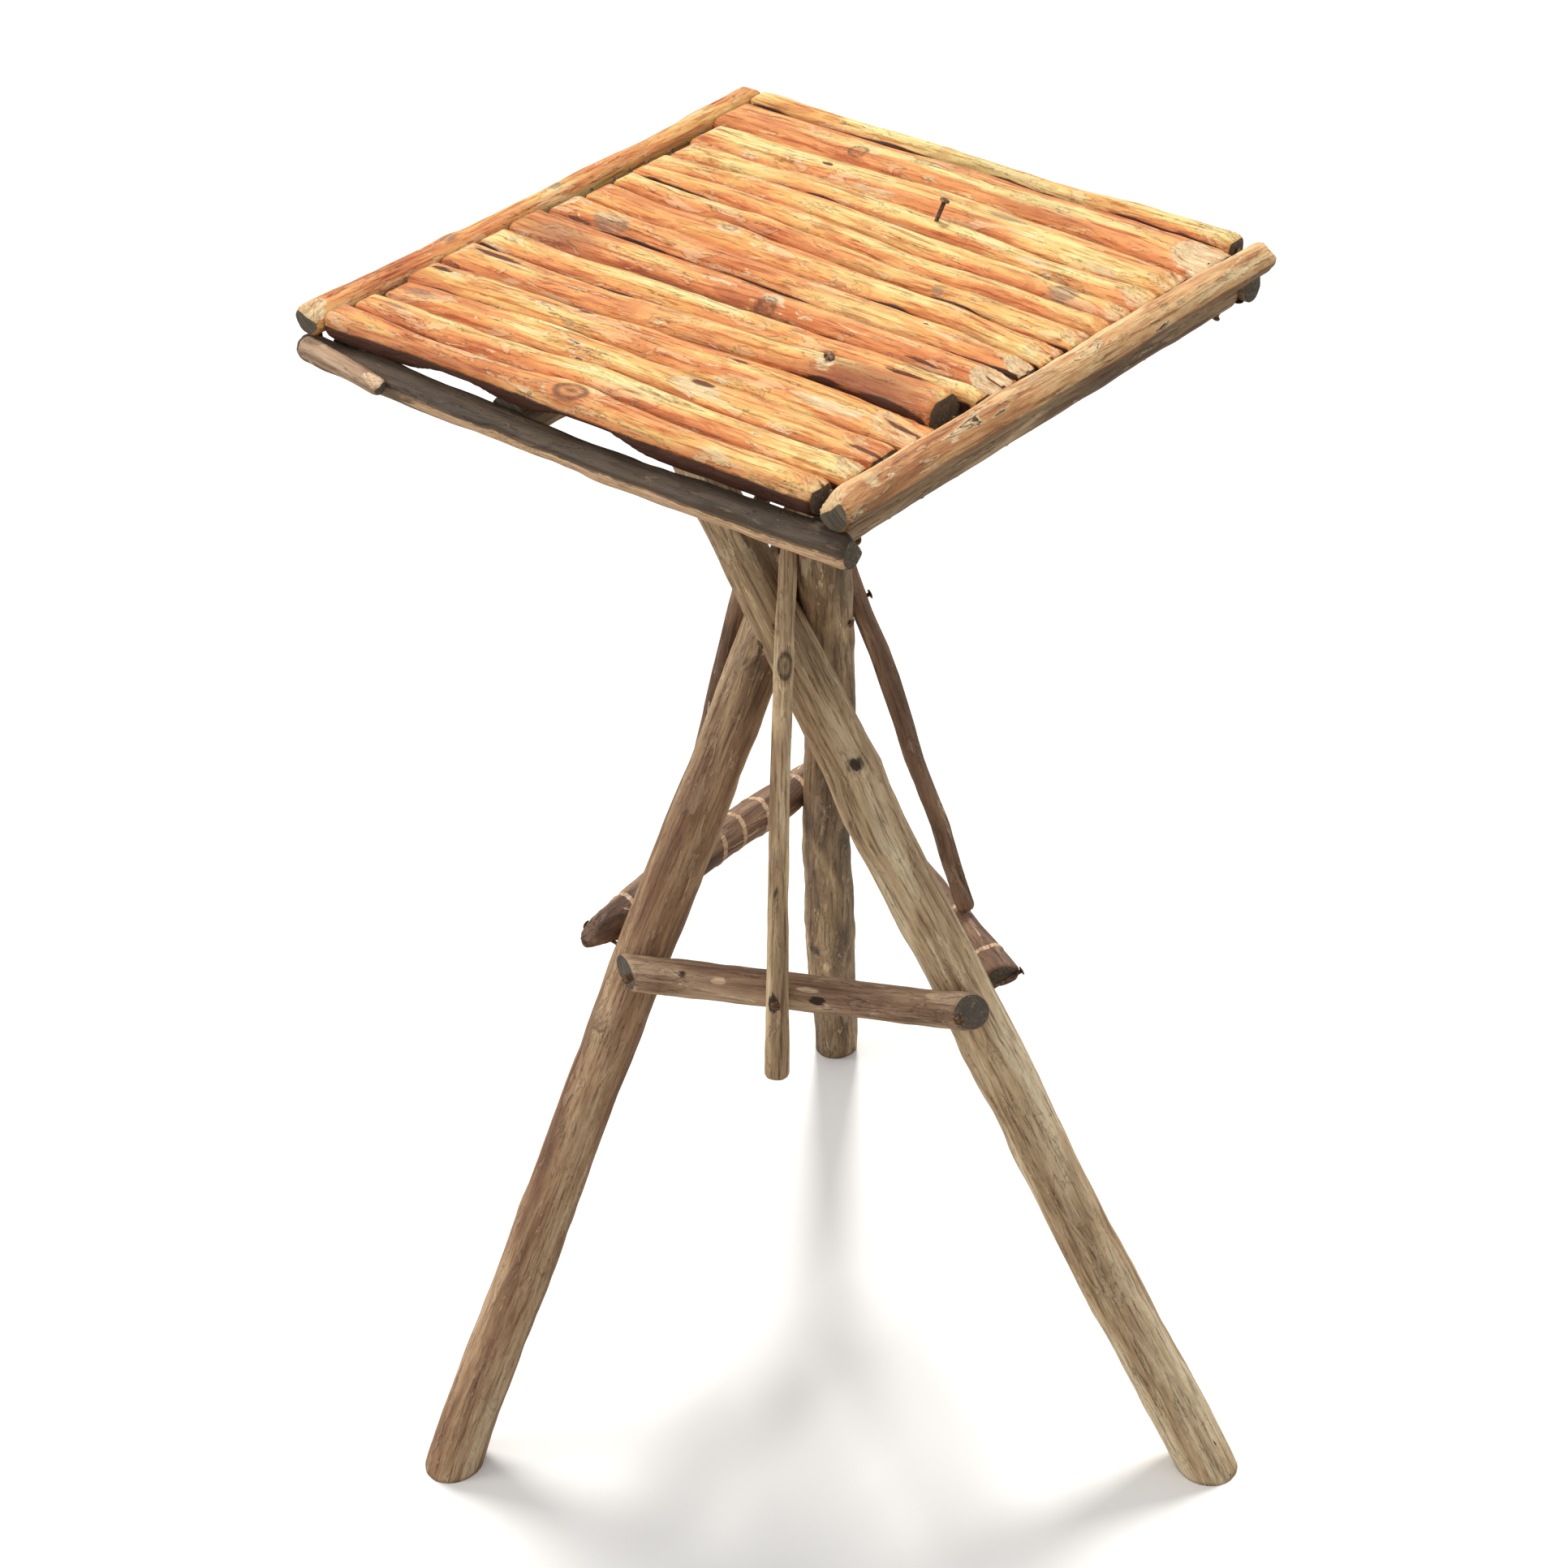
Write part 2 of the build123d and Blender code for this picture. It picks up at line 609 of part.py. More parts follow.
# Nails through the top into the heads of two legs: the slat each goes through, and how far
# its head stands proud. One was never driven home. The right leg's head is toe-nailed from
# its side up into the slats above it.
LEG_NAILS = {
    "left_leg": ("slat_13", 12.0),
    "back_leg": ("slat_05", 0.0),
}
for leg, (name, proud) in LEG_NAILS.items():
    slat = slats[name]
    head = legs[leg].point(slat_seat_height + slat_thickness)
    x = head.X + leg_nail_aside
    place = Vector(x, slat.middle_y(x), slat.crown(x))
    aim = legs[leg].point(slat_seat_height - leg_nail_length / 2)
    drive_nail("leg_nails", place, aim - place, leg_nail_length, (*slats_near(x, head.Y), leg), proud)

toe_point = legs["right_leg"].point(slat_seat_height - toe_nail_length / 2)
toe_side = common_normal(legs["right_leg"].direction(toe_point.Z), UP, Vector(0, -1, 0))
toe_place = toe_point + toe_side * (legs["right_leg"].dia(toe_point.Z) / 2)
toe_aim = legs["right_leg"].point(slat_seat_height)
drive_nail("leg_nails", toe_place, toe_aim - toe_place, toe_nail_length,
           ("right_leg", *slats_near(toe_aim.X, toe_aim.Y)))


# ---------------------------------------------------------------- nails of the top
def beside_axis(axis_z, dia, aside):
    """Height of the underside of a level stick at a distance aside from its axis."""
    return axis_z - math.sqrt((dia / 2) ** 2 - aside ** 2)


# Slats: from below, through the side bearers. The last slat lies behind the bearers and is
# nailed through the back rail instead, at a slant.
slat_nail_length = side_bearer_dia + seat_clearance + slat_nail_bite
last_slat = SLATS[-1][0]
for name, slat in slats.items():
    for bearer_name in ("left_bearer", "right_bearer"):
        rail = bearers[bearer_name]
        if name == last_slat:
            x = rail.end.X
            point = back_rail.point(back_rail.share_at_x(x))
            place = point - UP * (back_rail_dia / 2)
            aim = Vector(x, slat.middle_y(x), slat_seat_height + slanted_nail_bite)
            drive_nail("slat_nails", place, aim - place, (aim - place).length, ("back_rail", name))
            continue
        x = rail.point(rail.share_at_y(slat.middle_y(rail.start.X))).X
        y = min(max(slat.middle_y(x), rail.start.Y + bearer_end_margin), rail.end.Y - bearer_end_margin)
        place = Vector(x, y, rail.start.Z - rail.start_dia / 2)
        drive_nail("slat_nails", place, UP, slat_nail_length, (bearer_name, name))

# Side rails: from below through the ends of the front and back rails.
for rail_name, rail in side_rails.items():
    for under_name, inward in (("front_rail", 1), ("back_rail", -1)):
        under = cross_rails[under_name]
        end = rail.start if inward > 0 else rail.end
        point = under.point(under.share_at_x(end.X))
        y = point.Y + inward * rail_nail_set_back
        x = rail.point(rail.share_at_y(y)).X
        x = min(max(x, under.start.X + rail_nail_end_margin), under.end.X - rail_nail_end_margin)
        under_dia = under.dia(under.share_at_x(end.X))
        place = Vector(x, y, beside_axis(point.Z, under_dia, rail_nail_set_back))
        length = point.Z + under_dia / 2 - place.Z + side_rail_bite
        drive_nail("rail_nails", place, UP, length, (under_name, rail_name))

# Bearers: toe-nailed from below into the front and back rails.
for name, rail in bearers.items():
    for end, under_name, inward in ((rail.start, "front_rail", 1), (rail.end, "back_rail", -1)):
        under = cross_rails[under_name]
        x = end.X + toe_nail_aside
        aim = under.point(under.share_at_x(x))
        place = Vector(x, end.Y + inward * toe_nail_set_back,
                       beside_axis(end.Z, rail.start_dia, toe_nail_aside))
        drive_nail("bearer_nails", place, aim - place, (aim - place).length + toe_nail_bite,
                   (name, under_name))

# ---------------------------------------------------------------- one shared origin
all_nails = [one for group in nails.values() for one in group]
box = Compound([*pieces.values(), *all_nails]).bounding_box()
to_origin = Location((-box.center().X, -box.center().Y, -box.min.Z))

os.makedirs("parts", exist_ok=True)
for name, piece in pieces.items():
    export_step(piece.moved(to_origin), f"parts/{name}.step")
for name, group in nails.items():
    export_step(Compound(group).moved(to_origin), f"parts/{name}.step")
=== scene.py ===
import bpy
import bmesh
import math
import numpy as np
from mathutils import Matrix, Vector
from mathutils.bvhtree import BVHTree


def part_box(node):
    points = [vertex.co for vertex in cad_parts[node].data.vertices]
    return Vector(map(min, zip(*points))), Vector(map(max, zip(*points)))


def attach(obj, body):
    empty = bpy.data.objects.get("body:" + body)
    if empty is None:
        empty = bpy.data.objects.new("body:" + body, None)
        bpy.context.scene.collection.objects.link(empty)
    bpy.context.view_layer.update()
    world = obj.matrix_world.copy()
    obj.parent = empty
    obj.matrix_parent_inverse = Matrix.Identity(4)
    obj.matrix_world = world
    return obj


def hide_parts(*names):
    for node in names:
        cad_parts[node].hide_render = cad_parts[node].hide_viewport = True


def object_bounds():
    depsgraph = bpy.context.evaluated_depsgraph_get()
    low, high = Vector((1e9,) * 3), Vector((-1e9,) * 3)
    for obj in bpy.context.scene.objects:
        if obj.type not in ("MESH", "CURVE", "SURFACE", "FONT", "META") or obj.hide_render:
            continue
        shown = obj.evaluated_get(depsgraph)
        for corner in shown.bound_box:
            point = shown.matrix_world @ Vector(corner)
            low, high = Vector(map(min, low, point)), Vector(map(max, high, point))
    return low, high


# A rustic side table of peeled hickory sticks. The solids give every stick's place and
# thickness; here each stick gets its lumps, knots, knife cuts, bark and varnish.
# Lengths in the tables below are millimetres in the frame of the solids.

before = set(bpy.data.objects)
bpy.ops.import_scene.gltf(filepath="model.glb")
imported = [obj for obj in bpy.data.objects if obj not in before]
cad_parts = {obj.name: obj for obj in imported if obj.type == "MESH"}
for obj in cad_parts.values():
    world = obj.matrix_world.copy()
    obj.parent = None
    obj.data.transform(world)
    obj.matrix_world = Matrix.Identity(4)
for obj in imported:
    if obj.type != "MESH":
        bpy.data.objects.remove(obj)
cad_low, cad_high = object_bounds()
MM = 0.001
FULL_TURN = 2 * math.pi
FAR = 1e9          # a limit that limits nothing
TOP_X = -53.4      # middle of the top
TOP_Y = 15.5
SEAT = 727.5       # underside of the top's sticks

# ---------------------------------------------------------------- camera
CAMERA_FROM_TOP = (973.63, -1156.82)      # from the middle of the top, in X and Y
CAMERA_HEIGHT = 1453.38
SENSOR_WIDTH = 36.0
LENS = 72.43

camera_data = bpy.data.cameras.new("camera")
camera_data.sensor_width = SENSOR_WIDTH
camera_data.lens = LENS
camera = bpy.data.objects.new("camera", camera_data)
bpy.context.scene.collection.objects.link(camera)
camera_right = Vector((0.77267, 0.63411, -0.02988))
camera_up = Vector((-0.33948, 0.45251, 0.82461))
camera_back = Vector((0.53641, -0.62701, 0.56491))
camera_turn = Matrix((camera_right, camera_up, camera_back)).transposed().to_4x4()
camera_place = Vector((CAMERA_FROM_TOP[0] + TOP_X, CAMERA_FROM_TOP[1] + TOP_Y, CAMERA_HEIGHT)) * MM
camera.matrix_world = Matrix.Translation(camera_place) @ camera_turn
bpy.context.scene.camera = camera


# ---------------------------------------------------------------- node trees of the finishes
def tone(red, green, blue):
    """Linear colour of a screen colour (sRGB) given from 0 to 255."""
    parts = []
    for value in (red, green, blue):
        share = value / 255
        parts.append(share / 12.92 if share <= 0.04045 else ((share + 0.055) / 1.055) ** 2.4)
    return (*parts, 1.0)


# Sockets of a colour Mix node.
MIX_SHARE, MIX_UNDER, MIX_OVER, MIX_RESULT = 0, 6, 7, 2


class Finish:
    """A material under construction, with short helpers for its nodes."""

    def __init__(self, name):
        self.material = bpy.data.materials.new(name)
        self.material.use_nodes = True
        self.tree = self.material.node_tree
        self.tree.nodes.clear()
        self.output = self.tree.nodes.new("ShaderNodeOutputMaterial")
        self.skin = self.tree.nodes.new("ShaderNodeBsdfPrincipled")
        self.tree.links.new(self.skin.outputs["BSDF"], self.output.inputs["Surface"])

    def node(self, kind, **values):
        made = self.tree.nodes.new(kind)
        for name, value in values.items():
            setattr(made, name, value)
        return made

    def join(self, source, target):
        self.tree.links.new(source, target)

    def read(self, attribute, socket="Fac"):
        return self.node("ShaderNodeAttribute", attribute_name=attribute).outputs[socket]

    def grain(self, across, along, shift=0.0):
        """Place in the stick, stretched so that patterns run with the grain."""
        mapping = self.node("ShaderNodeMapping")
        mapping.inputs["Scale"].default_value = (across, across, along)
        mapping.inputs["Location"].default_value = (shift, shift * 0.7, shift * 1.3)
        self.join(self.read("grain", "Vector"), mapping.inputs["Vector"])
        return mapping.outputs["Vector"]

    def noise(self, place, detail=4.0, rough=0.55, twist=0.0):
        made = self.node("ShaderNodeTexNoise")
        made.inputs["Scale"].default_value = 1.0
        made.inputs["Detail"].default_value = detail
        made.inputs["Roughness"].default_value = rough
        made.inputs["Distortion"].default_value = twist
        self.join(place, made.inputs["Vector"])
        return made.outputs["Fac"]

    def ramp(self, value, stops):
        made = self.node("ShaderNodeValToRGB")
        while len(made.color_ramp.elements) < len(stops):
            made.color_ramp.elements.new(0.5)
        for element, (place, colour) in zip(made.color_ramp.elements, stops):
            element.position = place
            element.color = colour
        self.join(value, made.inputs["Fac"])
        return made.outputs["Color"]

    def window(self, value, low, high, out_low=0.0, out_high=1.0):
        made = self.node("ShaderNodeMapRange", interpolation_type="SMOOTHSTEP")
        for socket, number in zip(("From Min", "From Max", "To Min", "To Max"),
                                  (low, high, out_low, out_high)):
            made.inputs[socket].default_value = number
        self.join(value, made.inputs["Value"])
        return made.outputs["Result"]

    def sum(self, first, second, factor):
        """first and factor times second."""
        made = self.node("ShaderNodeMath", operation="MULTIPLY_ADD")
        self.join(second, made.inputs[0])
        made.inputs[1].default_value = factor
        self.join(first, made.inputs[2])
        return made.outputs["Value"]

    def product(self, first, second):
        made = self.node("ShaderNodeMath", operation="MULTIPLY")
        self.join(first, made.inputs[0])
        self.join(second, made.inputs[1])
        return made.outputs["Value"]

    def blend(self, under, over, share, mode="MIX"):
        """over laid on under; each is a colour or the socket of one."""
        made = self.node("ShaderNodeMix", data_type="RGBA", blend_type=mode, clamp_factor=True)
        for socket, value in ((made.inputs[MIX_UNDER], under), (made.inputs[MIX_OVER], over)):
            if isinstance(value, tuple):
                socket.default_value = value
            else:
                self.join(value, socket)
        self.join(share, made.inputs[MIX_SHARE])
        return made.outputs[MIX_RESULT]

    def relief(self, layers):
        """Bumps laid on one another: (height socket, depth in metres)."""
        normal = None
        for height, depth in layers:
            made = self.node("ShaderNodeBump")
            made.inputs["Strength"].default_value = 1.0
            made.inputs["Distance"].default_value = depth
            self.join(height, made.inputs["Height"])
            if normal is not None:
                self.join(normal, made.inputs["Normal"])
            normal = made.outputs["Normal"]
        self.join(normal, self.skin.inputs["Normal"])


# How tight each pattern lies across and along a stick, and a shift that keeps patterns apart.
WIDE_GRAIN = (70, 9)
FINE_GRAIN = (520, 26, 3.0)
FIBRE_GRAIN = (1500, 60, 9.0)
LAYER_GRAIN = (105, 22, 13.0)
TORN_GRAIN = (210, 30, 5.0)
FRAYED_GRAIN = (420, 60, 7.0)
CREVICE_GRAIN = (160, 45, 21.0)
RING_GRAIN = (420, 420, 2.0)

RED_BARK = tone(150, 84, 56)
WEATHERED = ((0.3, tone(96, 78, 66)), (0.6, tone(160, 132, 112)), (0.75, tone(196, 168, 140)))
BARE_GRAIN = ((0.62, tone(226, 186, 136)), (0.72, tone(150, 100, 62)))
END_RINGS = ((0.55, tone(104, 94, 82)), (0.7, tone(170, 150, 126)))


def stamped(finish, attribute, place, low=0.35, high=0.6):
    """A painted patch whose border is frayed along the grain."""
    fray = 1.5
    middle = fray / 2
    frayed = finish.sum(finish.read(attribute), finish.noise(place, 5.0, 0.75, 0.5), fray)
    return finish.product(finish.window(frayed, low + middle, high + middle),
                          finish.window(finish.read(attribute), 0.02, 0.25))


def peeled_layers(finish, colour, layers, fine, streak, fleck, pale, peel):
    """Thin skins of the peeled wood: bare ones, darker ones, and a fine rim where one ends."""
    colour = finish.blend(colour, pale, finish.window(layers, 0.55, 0.62, 0.0, peel))
    colour = finish.blend(colour, streak, finish.window(layers, 0.45, 0.40, 0.0, peel), "MULTIPLY")
    rim = finish.product(finish.window(layers, 0.560, 0.566), finish.window(layers, 0.577, 0.570))
    rim = finish.product(rim, finish.window(fine, 0.45, 0.60, 0.0, 2 * peel))
    return finish.blend(colour, fleck, rim)


def painted_patches(finish, colour, fine, fibres, fleck, pale):
    """Red bark, weathered grey, bare cuts and painted sunlight, stains and knots where the mesh says so.
    """
    frayed = finish.grain(*FRAYED_GRAIN)
    red = finish.window(finish.sum(finish.read("red"), finish.noise(frayed, 3.0, 0.7), 0.5), 0.35, 0.8)
    colour = finish.blend(colour, RED_BARK, finish.product(red, finish.read("red")))
    grey = finish.product(stamped(finish, "grey", frayed), finish.window(fibres, 0.40, 0.60, 0.25, 0.9))
    colour = finish.blend(colour, finish.ramp(fine, WEATHERED), grey)
    # The pale look: bare wood, and painted sunlight where the marks and the front rail put it.
    bare = finish.product(stamped(finish, "pale", frayed), finish.window(fibres, 0.36, 0.52, 0.4, 1.0))
    colour = finish.blend(colour, finish.ramp(fine, ((0.35, pale), *BARE_GRAIN)), bare)
    colour = finish.blend(colour, fleck, stamped(finish, "dark", frayed))
    return finish.blend(colour, fleck, finish.window(finish.read("knot"), 0.15, 0.8, 0.0, 0.85))


def peeled_stick(name, body, streak, fleck, fleck_share, pale, shade_tone, end_tone, gloss, shade_strength, peel):
    """Peeled hickory under old varnish: body tones, streaks, bark flecks, cuts, stains, painted shade,
    ends.
    """
    finish = Finish(name)
    wide = finish.noise(finish.grain(*WIDE_GRAIN), 5.0, 0.6, 0.4)
    colour = finish.ramp(finish.sum(wide, finish.read("shade"), 1.0), body)
    fine = finish.noise(finish.grain(*FINE_GRAIN), 4.0, 0.65)
    fine_streaks = finish.window(fine, 0.50, 0.64, 0.0, 0.3 + 1.6 * peel)
    colour = finish.blend(colour, streak, fine_streaks, "MULTIPLY")
    fibres = finish.noise(finish.grain(*FIBRE_GRAIN), 2.0, 0.6)
    colour = finish.blend(colour, streak, finish.window(fibres, 0.55, 0.75, 0.0, 0.35), "MULTIPLY")
    layers = finish.noise(finish.grain(*LAYER_GRAIN), 6.0, 0.62, 0.9)
    colour = peeled_layers(finish, colour, layers, fine, streak, fleck, pale, peel)
    torn = finish.noise(finish.grain(*TORN_GRAIN), 6.0, 0.72, 0.8)
    halo = finish.window(torn, fleck_share - 0.045, fleck_share - 0.01, 0.0, 0.75)
    colour = finish.blend(colour, pale, halo)
    colour = finish.blend(colour, fleck, finish.window(torn, fleck_share, fleck_share + 0.05))
    colour = painted_patches(finish, colour, fine, fibres, fleck, pale)
    # Painted shade in the crevices and on undersides, where the low look says so, frayed by a noise.
    crevice_shade = finish.sum(finish.read("low"), finish.noise(finish.grain(*CREVICE_GRAIN), 4.0, 0.7), 0.7)
    colour = finish.blend(colour, shade_tone, finish.window(crevice_shade, 0.62, 0.95, 0.0, shade_strength))
    cut = finish.read("end")
    rings = finish.noise(finish.grain(*RING_GRAIN), 5.0, 0.7, 1.5)
    end_colour = finish.ramp(rings, ((0.35, end_tone), *END_RINGS))
    colour = finish.blend(colour, end_colour, finish.window(cut, 0.4, 0.6))
    finish.join(colour, finish.skin.inputs["Base Color"])
    rough = finish.sum(finish.window(torn, 0.3, 0.7, gloss, gloss + 0.25), cut, 0.25)
    finish.join(rough, finish.skin.inputs["Roughness"])
    finish.skin.inputs["Specular IOR Level"].default_value = 0.35
    finish.skin.inputs["Coat Weight"].default_value = 0.12
    finish.skin.inputs["Coat Roughness"].default_value = 0.3
    layer_edges = finish.window(layers, 0.55, 0.575)
    finish.relief(((fine, 0.0008), (fibres, 0.0003), (torn, 0.0014), (layer_edges, 0.0004)))
    return finish.material


# Body tones run from the dark to the light of the wide grain; fleck_share is where in the torn
# grain the bark flecks begin, so a higher one leaves fewer of them.
top_wood = peeled_stick(
    "peeled_top_wood",
    body=((0.26, tone(176, 98, 50)), (0.39, tone(224, 138, 77)), (0.50, tone(245, 169, 103)),
          (0.58, tone(253, 198, 118)), (0.68, tone(255, 236, 160))),
    streak=tone(196, 128, 74), fleck=tone(112, 62, 34), fleck_share=0.65,
    pale=tone(254, 238, 196), shade_tone=tone(74, 36, 16), end_tone=tone(84, 74, 62),
    gloss=0.42, shade_strength=1.0, peel=0.30)
rail_wood = peeled_stick(
    "peeled_rail_wood",
    body=((0.24, tone(136, 84, 50)), (0.39, tone(204, 142, 92)), (0.49, tone(230, 172, 116)),
          (0.59, tone(246, 204, 146)), (0.70, tone(254, 234, 184))),
    streak=tone(172, 120, 80), fleck=tone(88, 60, 38), fleck_share=0.61,
    pale=tone(250, 228, 182), shade_tone=tone(70, 56, 36), end_tone=tone(84, 76, 62),
    gloss=0.45, shade_strength=0.6, peel=0.30)
leg_wood = peeled_stick(
    "peeled_leg_wood",
    body=((0.26, tone(100, 79, 59)), (0.40, tone(152, 124, 95)), (0.50, tone(186, 156, 121)),
          (0.60, tone(220, 191, 152)), (0.72, tone(246, 226, 190))),
    streak=tone(128, 102, 80), fleck=tone(64, 50, 38), fleck_share=0.655,
    pale=tone(244, 220, 186), shade_tone=tone(78, 62, 46), end_tone=tone(96, 92, 80),
    gloss=0.5, shade_strength=0.5, peel=0.20)
# A darker copy of the leg wood, as painted shade for the sticks under the top; its pale tone also gives
# the painted sunlight on the front rail.
shaded_under_wood = peeled_stick(
    "peeled_under_wood",
    body=((0.26, tone(78, 62, 46)), (0.40, tone(122, 99, 76)), (0.50, tone(146, 120, 94)),
          (0.60, tone(174, 142, 112)), (0.72, tone(232, 190, 158))),
    streak=tone(150, 128, 104), fleck=tone(60, 47, 35), fleck_share=0.665,
    pale=tone(238, 196, 164), shade_tone=tone(62, 50, 40), end_tone=tone(84, 76, 64),
    gloss=0.5, shade_strength=0.75, peel=0.12)
bark_wood = peeled_stick(
    "bark_stick_wood",
    body=((0.26, tone(82, 60, 47)), (0.40, tone(128, 98, 78)), (0.50, tone(156, 122, 98)),
          (0.60, tone(182, 148, 120)), (0.72, tone(214, 182, 150))),
    streak=tone(150, 122, 104), fleck=tone(64, 46, 36), fleck_share=0.675,
    pale=tone(250, 222, 194), shade_tone=tone(54, 38, 28), end_tone=tone(92, 86, 80),
    gloss=0.5, shade_strength=0.5, peel=0.12)


def nail_finish():
    """Old wire nails: dark iron with rust in small spots."""
    rust_scale = 600
    rust_tones = ((0.35, tone(52, 38, 30)), (0.5, tone(110, 76, 52)), (0.62, tone(142, 122, 100)))
    finish = Finish("nail_iron")
    place = finish.node("ShaderNodeTexCoord").outputs["Object"]
    mapping = finish.node("ShaderNodeMapping")
    mapping.inputs["Scale"].default_value = (rust_scale, rust_scale, rust_scale)
    finish.join(place, mapping.inputs["Vector"])
    rust = finish.noise(mapping.outputs["Vector"], 5.0, 0.7, 0.6)
    finish.join(finish.ramp(rust, rust_tones), finish.skin.inputs["Base Color"])
    finish.join(finish.window(rust, 0.3, 0.7, 0.65, 0.38), finish.skin.inputs["Roughness"])
    finish.skin.inputs["Metallic"].default_value = 0.7
    finish.relief(((rust, 0.0003),))
    return finish.material


nail_iron = nail_finish()


# ---------------------------------------------------------------- shapes of sticks
def eased(share):
    """A share from 0 to 1 that starts and stops gently."""
    return share * share * (3 - 2 * share)


def ripple(along, turn, cell, around, seed):
    """Smooth random surface over (mm along the stick, share of a turn), from -1 to 1."""
    table = np.random.default_rng(seed).uniform(-1, 1, (int(along.max() / cell) + 3, around))
    row_place = along / cell
    column_place = (turn % 1.0) * around
    row = np.floor(row_place).astype(int)
    column = np.floor(column_place).astype(int) % around
    beside = (column + 1) % around
    row_share = eased(row_place - np.floor(row_place))
    column_share = eased(column_place - np.floor(column_place))
    near = table[row, column] * (1 - column_share) + table[row, beside] * column_share
    far = table[row + 1, column] * (1 - column_share) + table[row + 1, beside] * column_share
    return near * (1 - row_share) + far * row_share


def wander(along, cell, seed):
    """Smooth random line along a stick, from -1 to 1."""
    return ripple(along, np.zeros_like(along), cell, 1, seed)


def steady(radii):
    """Radii with nail holes and other narrow dents filled in."""
    along, around = 4, 3      # how many rings and how many points of a ring the median reaches
    padded = np.pad(radii, ((0, 0), (around, around)), mode="wrap")
    padded = np.pad(padded, ((along, along), (0, 0)), mode="edge")
    rows, columns = radii.shape
    stack = [padded[i:i + rows, j:j + columns]
             for i in range(0, 2 * along + 1, 2) for j in range(2 * around + 1)]
    return np.median(np.stack(stack), axis=0)


def ring_directions(sides, across, upward):
    """Outward directions of a ring's points, from across round to upward."""
    angle = np.arange(sides) / sides * FULL_TURN
    return np.cos(angle)[:, None] * across + np.sin(angle)[:, None] * upward


def solid_surface(node):
    """A solid's surface for casting rays, in metres, and its points in mm."""
    mesh = bmesh.new()
    mesh.from_mesh(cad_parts[node].data)
    bmesh.ops.remove_doubles(mesh, verts=mesh.verts, dist=1e-6)
    tree = BVHTree.FromBMesh(mesh)
    points = np.array([v.co for v in mesh.verts]) / MM
    mesh.free()
    return tree, points


def smoothed(line, reach, **padding):
    """Running mean of a line over a few points on either side."""
    width = 2 * reach + 1
    return np.convolve(np.pad(line, reach, **padding), np.ones(width) / width, "valid")


# Looks painted on a stick's points. low is painted shade; shade moves the wood's tone lighter or darker,
# partly as painted highlight and shade.
LOOKS = ("pale", "dark", "grey", "red", "knot", "low", "shade")
BOX_MARGIN = 0.05                # how far a mesh stays inside the box of the solids
END_DOME = 0.6                   # how far a cut end bulges
CAP_SHARES = (0.97, 0.7, 0.4)    # rings of points on a cut end, as shares of its rim
CAP_GRAIN_SHIFT = 40             # sets the grain of a cut end apart from the wall's
# How far marks reach, in shares of their own length and width.
PATCH_REACH = 1.35
SWELL_REACH = 0.9
KNOT_REACH = 1.45
BAND_REACH = 1.7
BAND_FADE = 0.55
BAND_LEAN = 0.25


